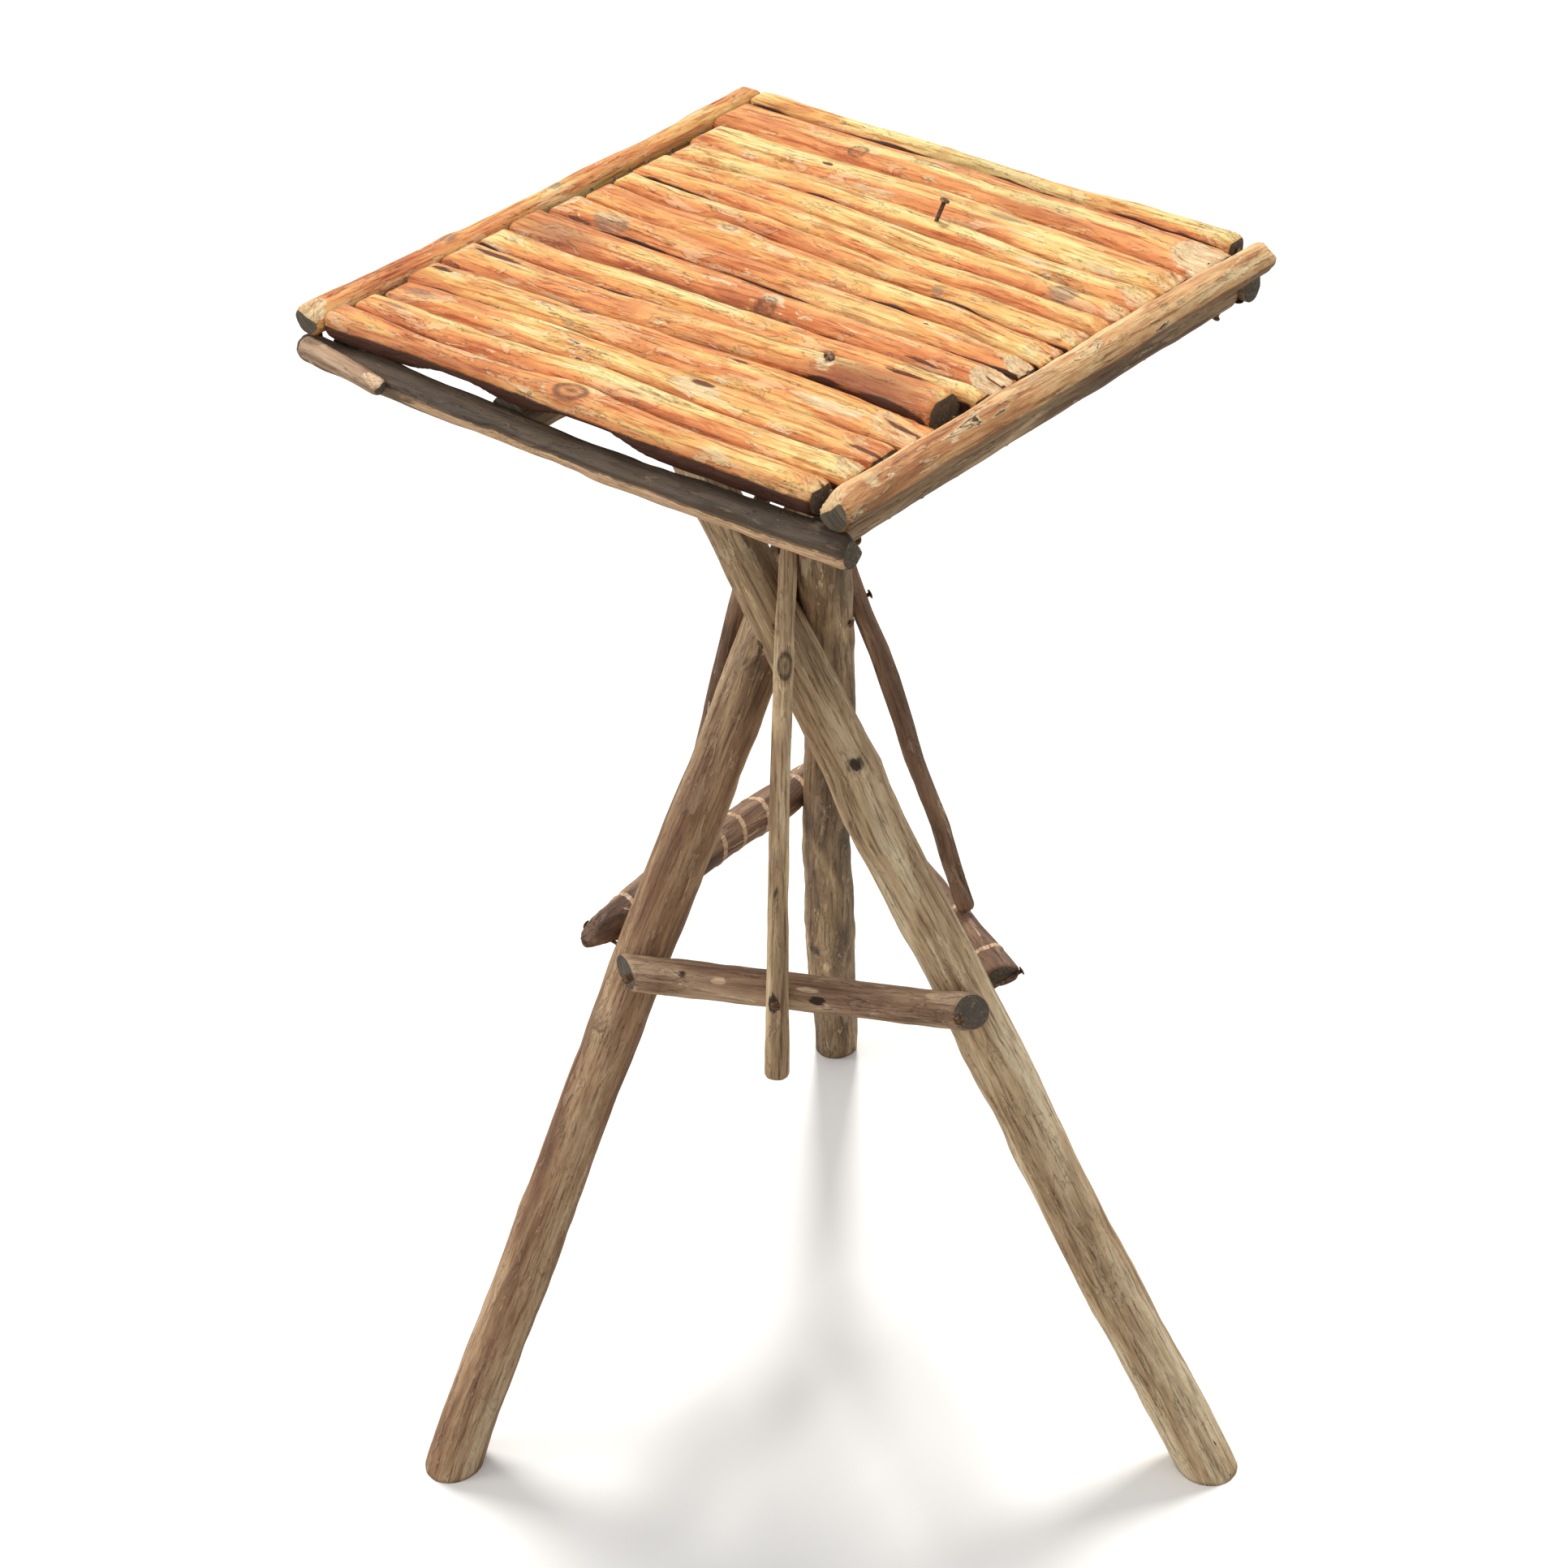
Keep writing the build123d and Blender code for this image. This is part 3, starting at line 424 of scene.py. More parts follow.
class Stick:
    """Rings of points around a line: centres, outward directions and radii, all in mm.

    A point's place round its ring is its turn, a share of a full turn. values holds how strongly
    each look shows at each point, and slide how far a point is moved along the stick.
    """

    def __init__(self, name, centres, ring, radii, along):
        self.name = name
        self.centres = centres
        self.directions = np.repeat(ring[None], len(centres), axis=0)
        self.radii = radii
        self.along = along
        self.turns = np.arange(radii.shape[1])[None, :] / radii.shape[1]
        self.slide = np.zeros(radii.shape)
        self.values = {look: np.zeros(radii.shape) for look in LOOKS}

    def points(self):
        line = np.gradient(self.centres, axis=0)
        line = line / np.linalg.norm(line, axis=1)[:, None]
        return (self.centres[:, None, :] + self.directions * self.radii[:, :, None]
                + line[:, None, :] * self.slide[:, :, None])

    def from_end(self, at_end):
        """How far each ring is from the stick's far end, or from its near one."""
        return (self.along[-1] - self.along) if at_end else self.along

    def signed_turns(self):
        """Turns counted from -0.5 to 0.5."""
        return (self.turns + 0.5) % 1 - 0.5

    def paint(self, look, strength):
        """Raise a look to this strength where it is weaker."""
        self.values[look] = np.maximum(self.values[look], strength)

    def tint(self, look, amount):
        """Add to a look."""
        self.values[look] = self.values[look] + amount

    def straighten_foot(self, rings, flare=0.15):
        """Carry the shape above a coped foot straight down to the stick's end."""
        step = (self.centres[2 * rings] - self.centres[rings]) / rings
        for ring in range(rings):
            self.centres[ring] = self.centres[rings] - step * (rings - ring)
            self.radii[ring] = self.radii[rings] * (1 + flare * (1 - ring / rings))

    def slant_end(self, at_end, slant, turn, longer, reach=45.0):
        """An axe cut across an end that leaves the side at turn longest; the end may also run on."""
        share = np.clip(1 - self.from_end(at_end) / reach, 0, 1)[:, None]
        lean = (1 - np.cos((self.turns - turn) * FULL_TURN)) / 2
        self.slide = self.slide + (-1 if at_end else 1) * (slant * lean - longer) * share

    def reshape(self, table, sideways):
        """Shift and thicken a stick at heights given in a table of (height, shift, extra width)."""
        heights, shifts, widths = np.array(table).T
        level = self.centres[:, 2]
        self.centres = self.centres + np.interp(level, heights, shifts)[:, None] * sideways
        facing = (self.directions @ sideways) ** 2
        self.radii = self.radii + np.interp(level, heights, widths)[:, None] / 2 * facing

    def roughen(self, seed, coarse, ridges):
        """Lumps and grain ridges of a peeled stick."""
        along = self.along[:, None] + 0 * self.turns
        turns = self.turns + 0 * along
        # Height, length of a wave along the stick in mm, waves around it.
        waves = ((coarse, 55, 3), (0.6 * coarse, 21, 5), (0.3 * coarse, 9, 9),
                 (ridges, 48, 19), (0.6 * ridges, 16, 17))
        for number, (height, length, around) in enumerate(waves):
            self.radii = self.radii + height * ripple(along, turns, length, around, seed + number)

    def hew(self, at_end, length, depth, turn, pale=0.0, hollow=0.0):
        """A knife cut that slopes off one side of an end; turn is that side, pale how bare it is."""
        edge_on = 0.05      # a side that faces the cut less than this is left alone
        share = np.clip(1 - self.from_end(at_end) / length, 0, 1)
        facing = np.cos((self.turns - turn) * FULL_TURN)
        depth_here = depth * (share + hollow * np.sin(share * math.pi))
        sides = self.radii.shape[1]
        full = self.radii[:, int(round(turn * sides)) % sides]
        limit = np.where(facing > edge_on, (full - depth_here)[:, None] / np.maximum(facing, edge_on), FAR)
        limit = np.where(share[:, None] > 0, limit, FAR)
        self.paint("pale", np.where(self.radii > limit, pale, 0.0))
        self.radii = np.minimum(self.radii, limit)

    def round_ends(self, length, depth):
        for at_end in (False, True):
            share = np.clip(1 - self.from_end(at_end) / length, 0, 1)
            self.radii = self.radii - (depth * share ** 2)[:, None]

    def stamp(self, kind, place, length, width, strength, swell):
        """A knot, stain, bare patch or pale band at a place on the stick; some pale patches and bands are
        painted sunlight.
        """
        place = np.array(place)
        ring = np.linalg.norm(self.centres - place, axis=1).argmin()
        line = self.centres[min(ring + 1, len(self.centres) - 1)] - self.centres[max(ring - 1, 0)]
        line = line / np.linalg.norm(line)
        offset = self.points() - place
        run = offset @ line
        side = np.linalg.norm(offset - run[:, :, None] * line, axis=2)
        spread = np.sqrt((run / length) ** 2 + (side / width) ** 2)
        if kind == "band":
            slant = np.abs(run + BAND_LEAN * side)
            near = np.clip(BAND_REACH - slant / (BAND_FADE * length), 0, 1) * strength
            self.paint("pale", near)
            self.radii = self.radii + swell * near
        elif kind == "knot":
            self.stamp_knot(spread / KNOT_REACH, strength, swell)
        else:
            self.paint(kind, np.clip(PATCH_REACH - spread, 0, 1) * strength)
            self.radii = self.radii + swell * np.exp(-(spread / SWELL_REACH) ** 2)

    def stamp_knot(self, spread, strength, swell):
        """A sunk core, a dark rim around it and a pale ring outside, on a small swelling."""
        core = np.clip(1 - spread / 0.5, 0, 1)
        rim = np.clip(1 - np.abs(spread - 0.55) / 0.24, 0, 1)
        outer = np.clip(1 - np.abs(spread - 1.0) / 0.3, 0, 1)
        self.paint("knot", (0.85 * rim + 0.8 * core) * strength)
        self.paint("pale", outer * strength * 0.5)
        bulge = (swell + 0.5) * np.exp(-(spread / SWELL_REACH) ** 2)
        self.radii = self.radii + bulge - 1.2 * core ** 0.5 * strength

    def wall_faces(self):
        rings, sides = self.radii.shape
        faces = []
        for i in range(rings - 1):
            for j in range(sides):
                k = (j + 1) % sides
                faces.append((i * sides + j, i * sides + k, (i + 1) * sides + k, (i + 1) * sides + j))
        return faces

    def close_end(self, last, seed, dome, vertices, faces, looks):
        """Rings of points that run in over a cut end to its middle, domed and a little crumbly."""
        rings, sides = self.radii.shape
        ring = rings - 1 if last else 0
        out = self.centres[ring] - self.centres[ring - 1 if last else 1]
        out = out / np.linalg.norm(out)
        edge = [ring * sides + j for j in range(sides)]
        rim = np.array([vertices[corner] for corner in edge])
        middle = rim.mean(axis=0)

        def add(place, shade):
            vertices.append(place)
            for look in looks:
                looks[look].append({"end": 1.0, "shade": shade}.get(look, 0.0))
            return len(vertices) - 1

        for share in CAP_SHARES:
            inner = []
            for j in range(sides):
                crumb = 0.25 * math.sin(j * 2.7 + seed) * (1 - share)
                place = middle + (rim[j] - middle) * share + out * dome * (1 - share ** 2 + crumb)
                inner.append(add(place, self.values["shade"][ring, j]))
            for j in range(sides):
                k = (j + 1) % sides
                quad = (edge[j], edge[k], inner[k], inner[j])
                faces.append(quad if last else quad[::-1])
            edge = inner
        hub = add(middle + out * dome, 0.0)
        for j in range(sides):
            corner = (edge[j], edge[(j + 1) % sides], hub)
            faces.append(corner if last else corner[::-1])

    def grain_places(self, vertices, seed):
        """Where each point lies in the wood, in metres: two places across the stick, one along it."""
        rings, sides = self.radii.shape
        turn = self.turns * FULL_TURN
        wall = np.stack([self.radii * np.cos(turn), self.radii * np.sin(turn),
                         self.along[:, None] + 0 * turn], axis=2)
        places = list(wall.reshape(-1, 3))
        second_cap = rings * sides + len(CAP_SHARES) * sides + 1
        for number in range(rings * sides, len(vertices)):
            ring = 0 if number < second_cap else rings - 1
            offset = vertices[number] - self.centres[ring]
            places.append(np.array([offset[1], offset[2] + offset[0], self.along[ring] + CAP_GRAIN_SHIFT]))
        shift = np.array([seed * 37.0, seed * 11.0, seed * 91.0])
        return (np.array(places) + shift) * MM

    def build(self, material, slot, node, seed, dome=END_DOME):
        """The closed mesh with its painted values, parented to the root body."""
        vertices = list(self.points().reshape(-1, 3))
        faces = self.wall_faces()
        looks = {look: list(value.reshape(-1)) for look, value in self.values.items()}
        looks["end"] = [0.0] * len(vertices)
        for last in (False, True):
            self.close_end(last, seed, dome, vertices, faces, looks)
        mesh = bpy.data.meshes.new(self.name)
        held = np.clip(np.array(vertices), np.array(cad_low) / MM + BOX_MARGIN,
                       np.array(cad_high) / MM - BOX_MARGIN)
        mesh.from_pydata([Vector(v) * MM for v in held], [], faces)
        outward = bmesh.new()
        outward.from_mesh(mesh)
        bmesh.ops.recalc_face_normals(outward, faces=outward.faces)
        outward.to_mesh(mesh)
        outward.free()
        for polygon in mesh.polygons:
            polygon.use_smooth = True
        layer = mesh.attributes.new("grain", "FLOAT_VECTOR", "POINT")
        layer.data.foreach_set("vector", self.grain_places(vertices, seed).astype(np.float32).reshape(-1))
        for look, numbers in looks.items():
            layer = mesh.attributes.new(look, "FLOAT", "POINT")
            layer.data.foreach_set("value", np.array(numbers, np.float32))
        mesh.materials.append(material)
        piece = bpy.data.objects.new(self.name, mesh)
        bpy.context.scene.collection.objects.link(piece)
        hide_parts(node)
        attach(piece, "root")


CAST_FROM = 60.0      # rays start this far from a stick's line
STEEP = 0.8           # a stick is steep when its axis rises more than this share of its length
END_BAND = 0.6        # points this close to an end give the end's middle
END_INSET = 0.05      # the first and last ring lie this far inside the ends
SETTLE = 0.999        # share of the way that a centre is moved towards the middle of its ring
# Shares of a ring's usual radius.
STRAY_UNDER, STRAY_OVER = 0.5, 1.6      # a radius past these is taken for a nail or a neighbour
HELD_UNDER, HELD_OVER = 0.82, 1.22      # and the others are held within these


def stick_axes(points, level):
    """A stick's axis and two directions across it; level rings have a plumb axis."""
    plumb = np.array([0.0, 0.0, 1.0])
    if level:
        return plumb, np.array([1.0, 0.0, 0.0]), np.array([0.0, 1.0, 0.0])
    axis = np.linalg.svd(points - points.mean(axis=0), full_matrices=False)[2][0]
    if axis[np.abs(axis).argmax()] < 0:
        axis = -axis
    steep = abs(axis[2]) >= STEEP
    across = np.cross(axis, np.array([0.0, 1.0, 0.0]) if steep else plumb)
    across = across / np.linalg.norm(across)
    upward = np.cross(across, axis)
    if upward[2] < -1e-6 and not steep:
        upward = -upward
    return axis, across, upward


def reach_out(tree, centre, directions):
    """How far the surface is from a centre in each direction; a ray that misses gives no number."""
    reach = []
    for direction in directions:
        start = Vector((centre + direction * CAST_FROM) * MM)
        hit = tree.ray_cast(start, Vector(-direction), CAST_FROM * MM)[3]
        reach.append(CAST_FROM - hit / MM if hit is not None else np.nan)
    return np.array(reach)


def stick_from_solid(node, name, step, sides, level=False, limit=None, trim=0.0):
    """Rings read from a solid; level rings suit a stick that is sawn level at both ends.

    limit is the largest radius, and trim what is left off the near end.
    """
    tree, points = solid_surface(node)
    axis, across, upward = stick_axes(points, level)
    run = points @ axis
    low, high = run.min() + trim, run.max()
    first = points[run < run.min() + END_BAND].mean(axis=0)
    last = points[run > high - END_BAND].mean(axis=0)
    count = max(int((high - low) / step), 8)
    directions = ring_directions(sides, across, upward)
    centres, radii = [], []
    for i in range(count + 1):
        place = low + END_INSET + (high - low - 2 * END_INSET) * i / count
        share = (place - run.min()) / (high - run.min())
        centre = first + (last - first) * share
        centre = centre + axis * (place - centre @ axis)
        for _ in range(2):      # settle the centre in the middle of its ring
            reach = reach_out(tree, centre, directions)
            usual = np.nanmedian(reach)
            stray = np.isnan(reach) | (reach > STRAY_OVER * usual) | (reach < STRAY_UNDER * usual)
            reach = np.where(stray, usual, reach)
            centre = centre + (directions * reach[:, None]).mean(axis=0) * SETTLE
        reach = reach_out(tree, centre, directions)
        centres.append(centre)
        radii.append(np.where(np.isnan(reach), np.nanmedian(reach), reach))
    radii = np.array(radii)
    usual = np.median(radii, axis=1)[:, None]
    radii = np.clip(radii, HELD_UNDER * usual, HELD_OVER * usual)
    if limit:
        radii = np.minimum(radii, limit)
    centres = np.array(centres)
    for axis_number in range(3):
        centres[:, axis_number] = smoothed(centres[:, axis_number], 4, mode="reflect", reflect_type="odd")
    return Stick(name, centres, directions, steady(radii), np.linspace(0, high - low, count + 1))


# Knots, stains, weathered and bare patches and pale bands on each stick, with some pale spots and bands
# on the stretchers that are painted sunlight: kind, place, half length along the stick, half width
# across it, strength, and how far the wood swells there.
MARKS = {
    "slat_01": (
        ("knot", (-52, -154, 744), 11, 7, 1.0, 2.5),
        ("pale", (-116, -153, 744), 26, 4, 0.5, 0.0),
        ("pale", (-37, -162, 733), 22, 4, 0.6, 0.0),
        ("pale", (43, -159, 741), 20, 4, 0.6, 0.0),
        ("dark", (103, -149, 742), 8, 2, 0.8, -0.4),
    ),
    "slat_02": (
        ("dark", (-117, -142, 739), 10, 2, 0.7, 0.0),
        ("grey", (-190, -138, 744), 12, 3, 0.6, 0.0),
        ("pale", (-186, -140, 743), 20, 3, 0.6, 0.0),
        ("grey", (102, -130, 744), 12, 3, 0.8, 0.0),
    ),
    "slat_03": (
        ("pale", (-6, -114, 743), 16, 5.5, 1.4, 0.3),
        ("dark", (-4, -119, 736), 4, 1.5, 0.9, 0.0),
        ("dark", (-5, -110, 744), 9, 3, 0.9, -0.5),
        ("grey", (-195, -118, 744), 16, 5, 0.8, -0.6),
        ("dark", (101, -114, 744), 13, 2.4, 1.0, -0.5),
    ),
    "slat_04": (
        ("dark", (-5, -81, 744), 8, 1.8, 0.9, 0.0),
        ("dark", (-105, -85, 744), 7, 1.8, 0.9, 0.0),
        ("pale", (-5, -96, 740), 6, 3, 0.9, 0.0),
        ("pale", (-162, -100, 740), 6, 3, 0.5, 1.2),
        ("pale", (-196, -92, 744), 12, 3, 0.7, 0.0),
        ("dark", (-203, -91, 744), 9, 2, 1.0, -0.6),
        ("dark", (99, -83, 744), 13, 3, 1.0, -0.6),
        ("pale", (59, -90, 743), 28, 5, 0.8, 0.0),
    ),
    "slat_05": (
        ("dark", (-207, -77, 739), 10, 2, 0.9, 0.0),
        ("pale", (-200, -62, 744), 8, 3, 0.9, 0.0),
        ("pale", (33, -61, 748), 6, 6, 1.0, -0.5),
        ("red", (62, -67, 746), 45, 14, 0.8, 0.0),
        ("dark", (-189, -62, 745), 20, 2.6, 1.0, -1.2),
        ("dark", (-159, -58, 745), 9, 2.2, 1.0, -0.8),
        ("dark", (-125, -62, 746), 18, 1.3, 1.0, -0.5),
        ("red", (64, -69, 744), 20, 8, 0.7, 0.0),
    ),
    "slat_06": (
        ("knot", (-3, -38, 744), 5, 3, 0.7, 0.5),
        ("pale", (-198, -42, 744), 10, 3, 0.7, 0.0),
        ("dark", (-134, -46, 741), 14, 1.5, 0.7, 0.0),
        ("pale", (-205, -49, 739), 14, 2.5, 0.9, 0.0),
        ("dark", (66, -42, 743), 18, 1.4, 1.0, -0.4),
    ),
    "slat_07": (
        ("pale", (-37, -17, 744), 9, 4, 1.0, 1.0),
        ("knot", (-37, -24, 742), 7, 6, 1.0, -1.5),
        ("dark", (-174, -2, 741), 12, 2, 0.8, 0.0),
        ("red", (-182, -21, 743), 40, 12, 0.6, 0.0),
        ("dark", (66, -25, 742), 14, 1.2, 0.9, -0.3),
        ("dark", (104, -17, 744), 8, 2, 1.0, -0.6),
        ("knot", (-38, -20, 744), 6, 5, 0.9, 0.8),
    ),
    "slat_08": (
        ("grey", (-171, 7, 743), 15, 7, 1.0, -0.8),
        ("pale", (-176, 10, 744), 14, 2, 0.9, 0.0),
        ("dark", (-195, 4, 740), 17, 1.6, 0.9, -0.5),
        ("pale", (60, 2, 744), 25, 3, 0.5, 0.0),
    ),
    "slat_09": (
        ("pale", (-110, 34, 744), 9, 4, 0.9, 1.5),
        ("knot", (-123, 37, 744), 7, 5, 0.6, 1.0),
        ("knot", (-111, 36, 744), 6, 4, 0.8, 0.6),
    ),
    "slat_10": (
        ("grey", (24, 42, 742), 6, 7, 0.7, 0.0),
    ),
    "slat_11": (
        ("grey", (-71, 67, 744), 18, 4, 0.5, 0.0),
    ),
    "slat_12": (
        ("grey", (78, 76, 744), 11, 8, 0.9, 0.0),
        ("pale", (-40, 90, 744), 12, 3, 0.6, 0.0),
    ),
    "slat_13": (
        ("grey", (-130, 101, 740), 16, 5, 0.7, 0.0),
        ("dark", (-2, 103, 743), 3, 1.5, 0.9, 0.0),
        ("pale", (44, 98, 742), 22, 4, 0.6, 0.0),
    ),
    "slat_14": (
        ("dark", (-122, 134, 744), 5, 2, 1.0, -0.8),
        ("grey", (1, 133, 744), 17, 4, 0.8, -0.3),
        ("pale", (-84, 125, 741), 26, 6, 0.5, 0.0),
        ("pale", (-16, 121, 740), 26, 5, 0.5, 0.0),
        ("pale", (77, 116, 739), 22, 5, 0.7, 0.0),
    ),
    "slat_15": (
        ("knot", (-119, 158, 743), 7, 6, 0.9, 0.8),
        ("pale", (-110, 160, 743), 5, 4, 0.9, 0.3),
        ("knot", (-79, 165, 744), 7, 4, 0.7, 0.6),
        ("pale", (-71, 166, 744), 5, 3, 0.8, 0.0),
        ("red", (8, 156, 743), 60, 10, 0.4, 0.0),
    ),
    "left_side_rail": (
        ("grey", (-226, -63, 744), 6, 6, 0.8, 0.6),
        ("pale", (-227, -56, 744), 5, 4, 0.6, 0.6),
        ("grey", (-227, 22, 744), 6, 5, 0.7, 0.6),
        ("dark", (-223, -107, 744), 12, 3, 0.5, 0.0),
    ),
    "right_side_rail": (
        ("pale", (123, -140, 746), 7, 6, 0.7, 0.0),
        ("pale", (128, -81, 743), 4, 3, 0.8, 0.0),
        ("red", (126, -9, 745), 30, 8, 0.4, 0.0),
    ),
    "right_leg": (
        ("knot", (-1, -3, 463), 6, 5, 1.0, 2.0),
        ("dark", (-1, -3, 463), 5, 4, 1.0, 0.0),
        ("dark", (96, 24, 213), 10, 5, 0.9, 2.0),
        ("pale", (17, 8, 432), 60, 5, 0.35, 0.0),
        ("pale", (82, 10, 291), 40, 5, 0.5, 0.0),
    ),
    "left_leg": (
        ("knot", (-110, -111, 293), 6, 5, 0.8, 1.5),
        ("knot", (-70, -7, 505), 6, 6, 0.8, 0.8),
        ("grey", (-77, -8, 507), 20, 3, 0.9, 0.0),
        ("red", (-87, -34, 453), 8, 5, 0.4, 0.0),
        ("red", (-91, -57, 405), 24, 6, 0.35, 0.8),
        ("pale", (-106, -85, 346), 12, 9, 0.35, 1.0),
        ("red", (-112, -126, 260), 60, 8, 0.4, 0.0),
    ),
    "back_leg": (
        ("knot", (-167, 159, 160), 9, 5, 1.0, 1.5),
        ("pale", (-167, 167, 138), 9, 3, 1.0, 0.5),
        ("grey", (-117, 108, 289), 40, 6, 0.4, 0.0),
    ),
    "front_stretcher": (
        # The first two pale spots are painted flecks of sunlight that falls between the sticks of the top.
        ("pale", (-43, -80, 337), 5, 2.5, 1.0, 0.0),
        ("pale", (2, -53, 335), 8, 2, 0.9, 0.0),
        ("dark", (8, -53, 330), 6, 4, 0.8, 0.0),
        ("pale", (6, -54, 327), 5, 1.5, 0.7, 0.0),
        ("pale", (67, -8, 332), 9, 3, 1.0, 0.0),
        ("dark", (-62, -91, 339), 4, 4, 0.6, 0.5),
        ("pale", (56, -7, 332), 18, 1.5, 0.7, 0.0),
    ),
    # Bands of painted sunlight that falls between the sticks of the top.
    "left_stretcher": (
        ("band", (-135, -57, 343), 2.6, 40, 1.0, 0.5),
        ("band", (-128, 25, 343), 2.6, 40, 1.0, 0.5),
        ("band", (-132, 45, 345), 2.6, 40, 1.0, 0.5),
        ("band", (-135, 69, 343), 2.6, 40, 1.0, 0.5),
        ("band", (-134, 106, 338), 2.6, 40, 1.0, 0.5),
    ),
    "right_stretcher": (
        ("band", (49, 57, 318), 3.0, 40, 1.0, 0.5),
        ("pale", (-13, 102, 309), 3, 4, 0.8, 0.0),
        ("pale", (5, 82, 316), 3, 4, 0.7, 0.0),
    ),
    "front_brace": (
        ("dark", (-6, -75, 335), 7, 4, 0.9, 0.0),
        ("knot", (-31, -25, 528), 9, 4, 1.0, 0.8),
        ("grey", (-17, -54, 419), 14, 5, 0.6, 0.0),
        ("dark", (-15, -58, 400), 8, 3, 0.5, 0.0),
    ),
    "front_rail": (
        ("pale", (-147, -168, 711), 10, 2, 0.3, 0.0),
        ("band", (-221, -170, 723), 3, 40, 0.6, 0.0),
    ),
}


def stamp_marks(stick, node):
    for mark in MARKS.get(node, ()):
        stick.stamp(*mark)


# ---------------------------------------------------------------- sticks of the top
# Lines between neighbouring sticks, from the front of the top to its back, in Y at seven places
# in X, all from the middle of the top.
LINE_X = (-155, -100, -50, 0, 50, 100, 150)
LINES = [
    (-179, -178, -178, -178, -178, -177.5, -177),
    (-162, -164, -162.5, -157, -160.5, -159.5, -158),
    (-142.5, -141.5, -140, -135.5, -137.5, -138.5, -137.5),
    (-120.5, -116, -114, -115.5, -115.5, -114.5, -113.5),
    (-95, -94, -93, -87.5, -84.5, -82.5, -87.5),
    (-66, -68, -67.5, -63, -67, -63, -60),
    (-44, -47.5, -44.5, -45, -42.5, -42.8, -46),
    (-13.5, -14, -16.5, -15.5, -20.5, -20.5, -22),
    (12.5, 6, 4.5, 4, 2.5, 2, -6),
    (35, 28, 32.5, 27.3, 23.8, 22.2, 15.8),
    (51, 50, 48.5, 44.5, 37.5, 38.2, 36.5),
    (62.5, 68.5, 65.5, 62.5, 57, 58.5, 53.5),
    (79.5, 86, 88.2, 83, 81, 76.5, 70.5),
    (105.5, 104, 105, 104, 99.5, 95.5, 96),
    (133, 132.7, 131.8, 135, 132.5, 129.8, 122),
    (168.5, 167, 166, 167, 164.5, 164.5, 161),
    (184.5, 181, 180, 178.5, 176.5, 178, 180),
]
# Depth, length and bareness of the knife cut on each stick's right end, then on its left end.
CUTS = [
    (3.0, 7, 0.45, 2.0, 6, 0.2), (3.5, 11, 0.5, 2.5, 7, 0.3), (4.0, 24, 0.35, 2.5, 8, 0.2),
    (5.0, 30, 0.45, 3.0, 8, 0.3), (1.5, 6, 0.1, 3.0, 10, 0.5), (3.0, 9, 0.15, 4.0, 9, 0.6),
    (6.0, 18, 0.9, 2.5, 8, 0.1), (5.0, 13, 0.8, 4.0, 12, 0.7), (5.0, 16, 0.4, 3.5, 9, 0.2),
    (3.5, 10, 0.5, 3.5, 8, 0.3), (3.0, 7, 0.2, 3.5, 8, 0.2), (3.5, 12, 0.5, 3.5, 8, 0.3),
    (4.0, 14, 0.45, 4.0, 10, 0.5), (4.5, 9, 0.5, 4.5, 10, 0.6), (5.0, 24, 1.0, 3.0, 8, 0.2),
    (2.5, 6, 0.1, 2.0, 6, 0.4),
]
# How light or red each stick is beside its neighbours.
SHADES = (0.0, 0.0, 0.02, 0.02, 0.03, 0.04, -0.05, 0.03, 0.0, 0.03, 0.0, 0.04, 0.03, 0.07, -0.01, 0.10)
THICK = 17.0
THICK_RAISED = 23.0    # at the right end of the one stick that stands up
RAISED_STICK = 4
RAISED_FROM = -20      # along X from the middle of the top
RAISED_OVER = 165
RISE = 0.44            # height of a stick's widest line as a share of its thickness
TOP_STEP = 1.9         # from ring to ring
TOP_SIDES = 44
TOP_INSET = 0.1        # each stick stays this far inside its lines and its solid's ends
TOP_LUMPS = 0.65
TOP_RIDGES = 0.3
SQUARENESS = 2.05      # of a stick's section; 2 is an ellipse
UP_TURN = 0.25         # the turn that points up
EDGE_SEED = 900
CRACK_SEED = 400
FRONT_EDGE_SEED = 77


def top_edges(number, place, along):
    """Front and back edge of a stick of the top, smoothed and slightly wavering."""
    edges = []
    for line, inset in ((number, TOP_INSET), (number + 1, -TOP_INSET)):
        edge = smoothed(np.interp(place, LINE_X, LINES[line]) + inset, 7, mode="edge")
        edges.append(edge + 0.45 * wander(along, 33, EDGE_SEED + line))
    front, back = edges
    if number == 0:
        front = front - wander(along, 60, FRONT_EDGE_SEED)
    return front, back


def arched_floor(floor, place, cosine):
    """Underside of the front stick: two hollows on its front, and a right end that hangs lower."""
    arch = 5.0 * np.exp(-((place + 73) / 25) ** 4) + 7.0 * np.exp(-((place - 17) / 32) ** 4)
    floor = floor + 2.0 * np.clip((place - 65) / 20, 0, 1)[:, None]
    return floor - arch[:, None] * np.clip(-cosine * 1.4 + 0.5, 0, 1)


def paint_crevice_shade(stick, number, half, cosine, sine):
    """Painted shade: dark lines where a stick meets its neighbours, a dark underside, and on the front
    stick a dark lower front flank.
    """
    height = stick.radii * sine
    from_side = half[:, None] - np.abs(stick.radii * cosine)
    crack = 1.2 + 0.5 * wander(stick.along, 27, CRACK_SEED + number)[:, None]
    low = np.where(sine > 0, np.clip((crack - from_side) / 1.3, 0, 1), 0.0)
    low = np.maximum(low, np.clip((0.8 - height) / 3.0, 0, 1))
    if number == 0:
        low = np.where(cosine < 0, np.clip((4.0 - height) / 5, 0, 0.95), low)
    stick.values["low"] = low


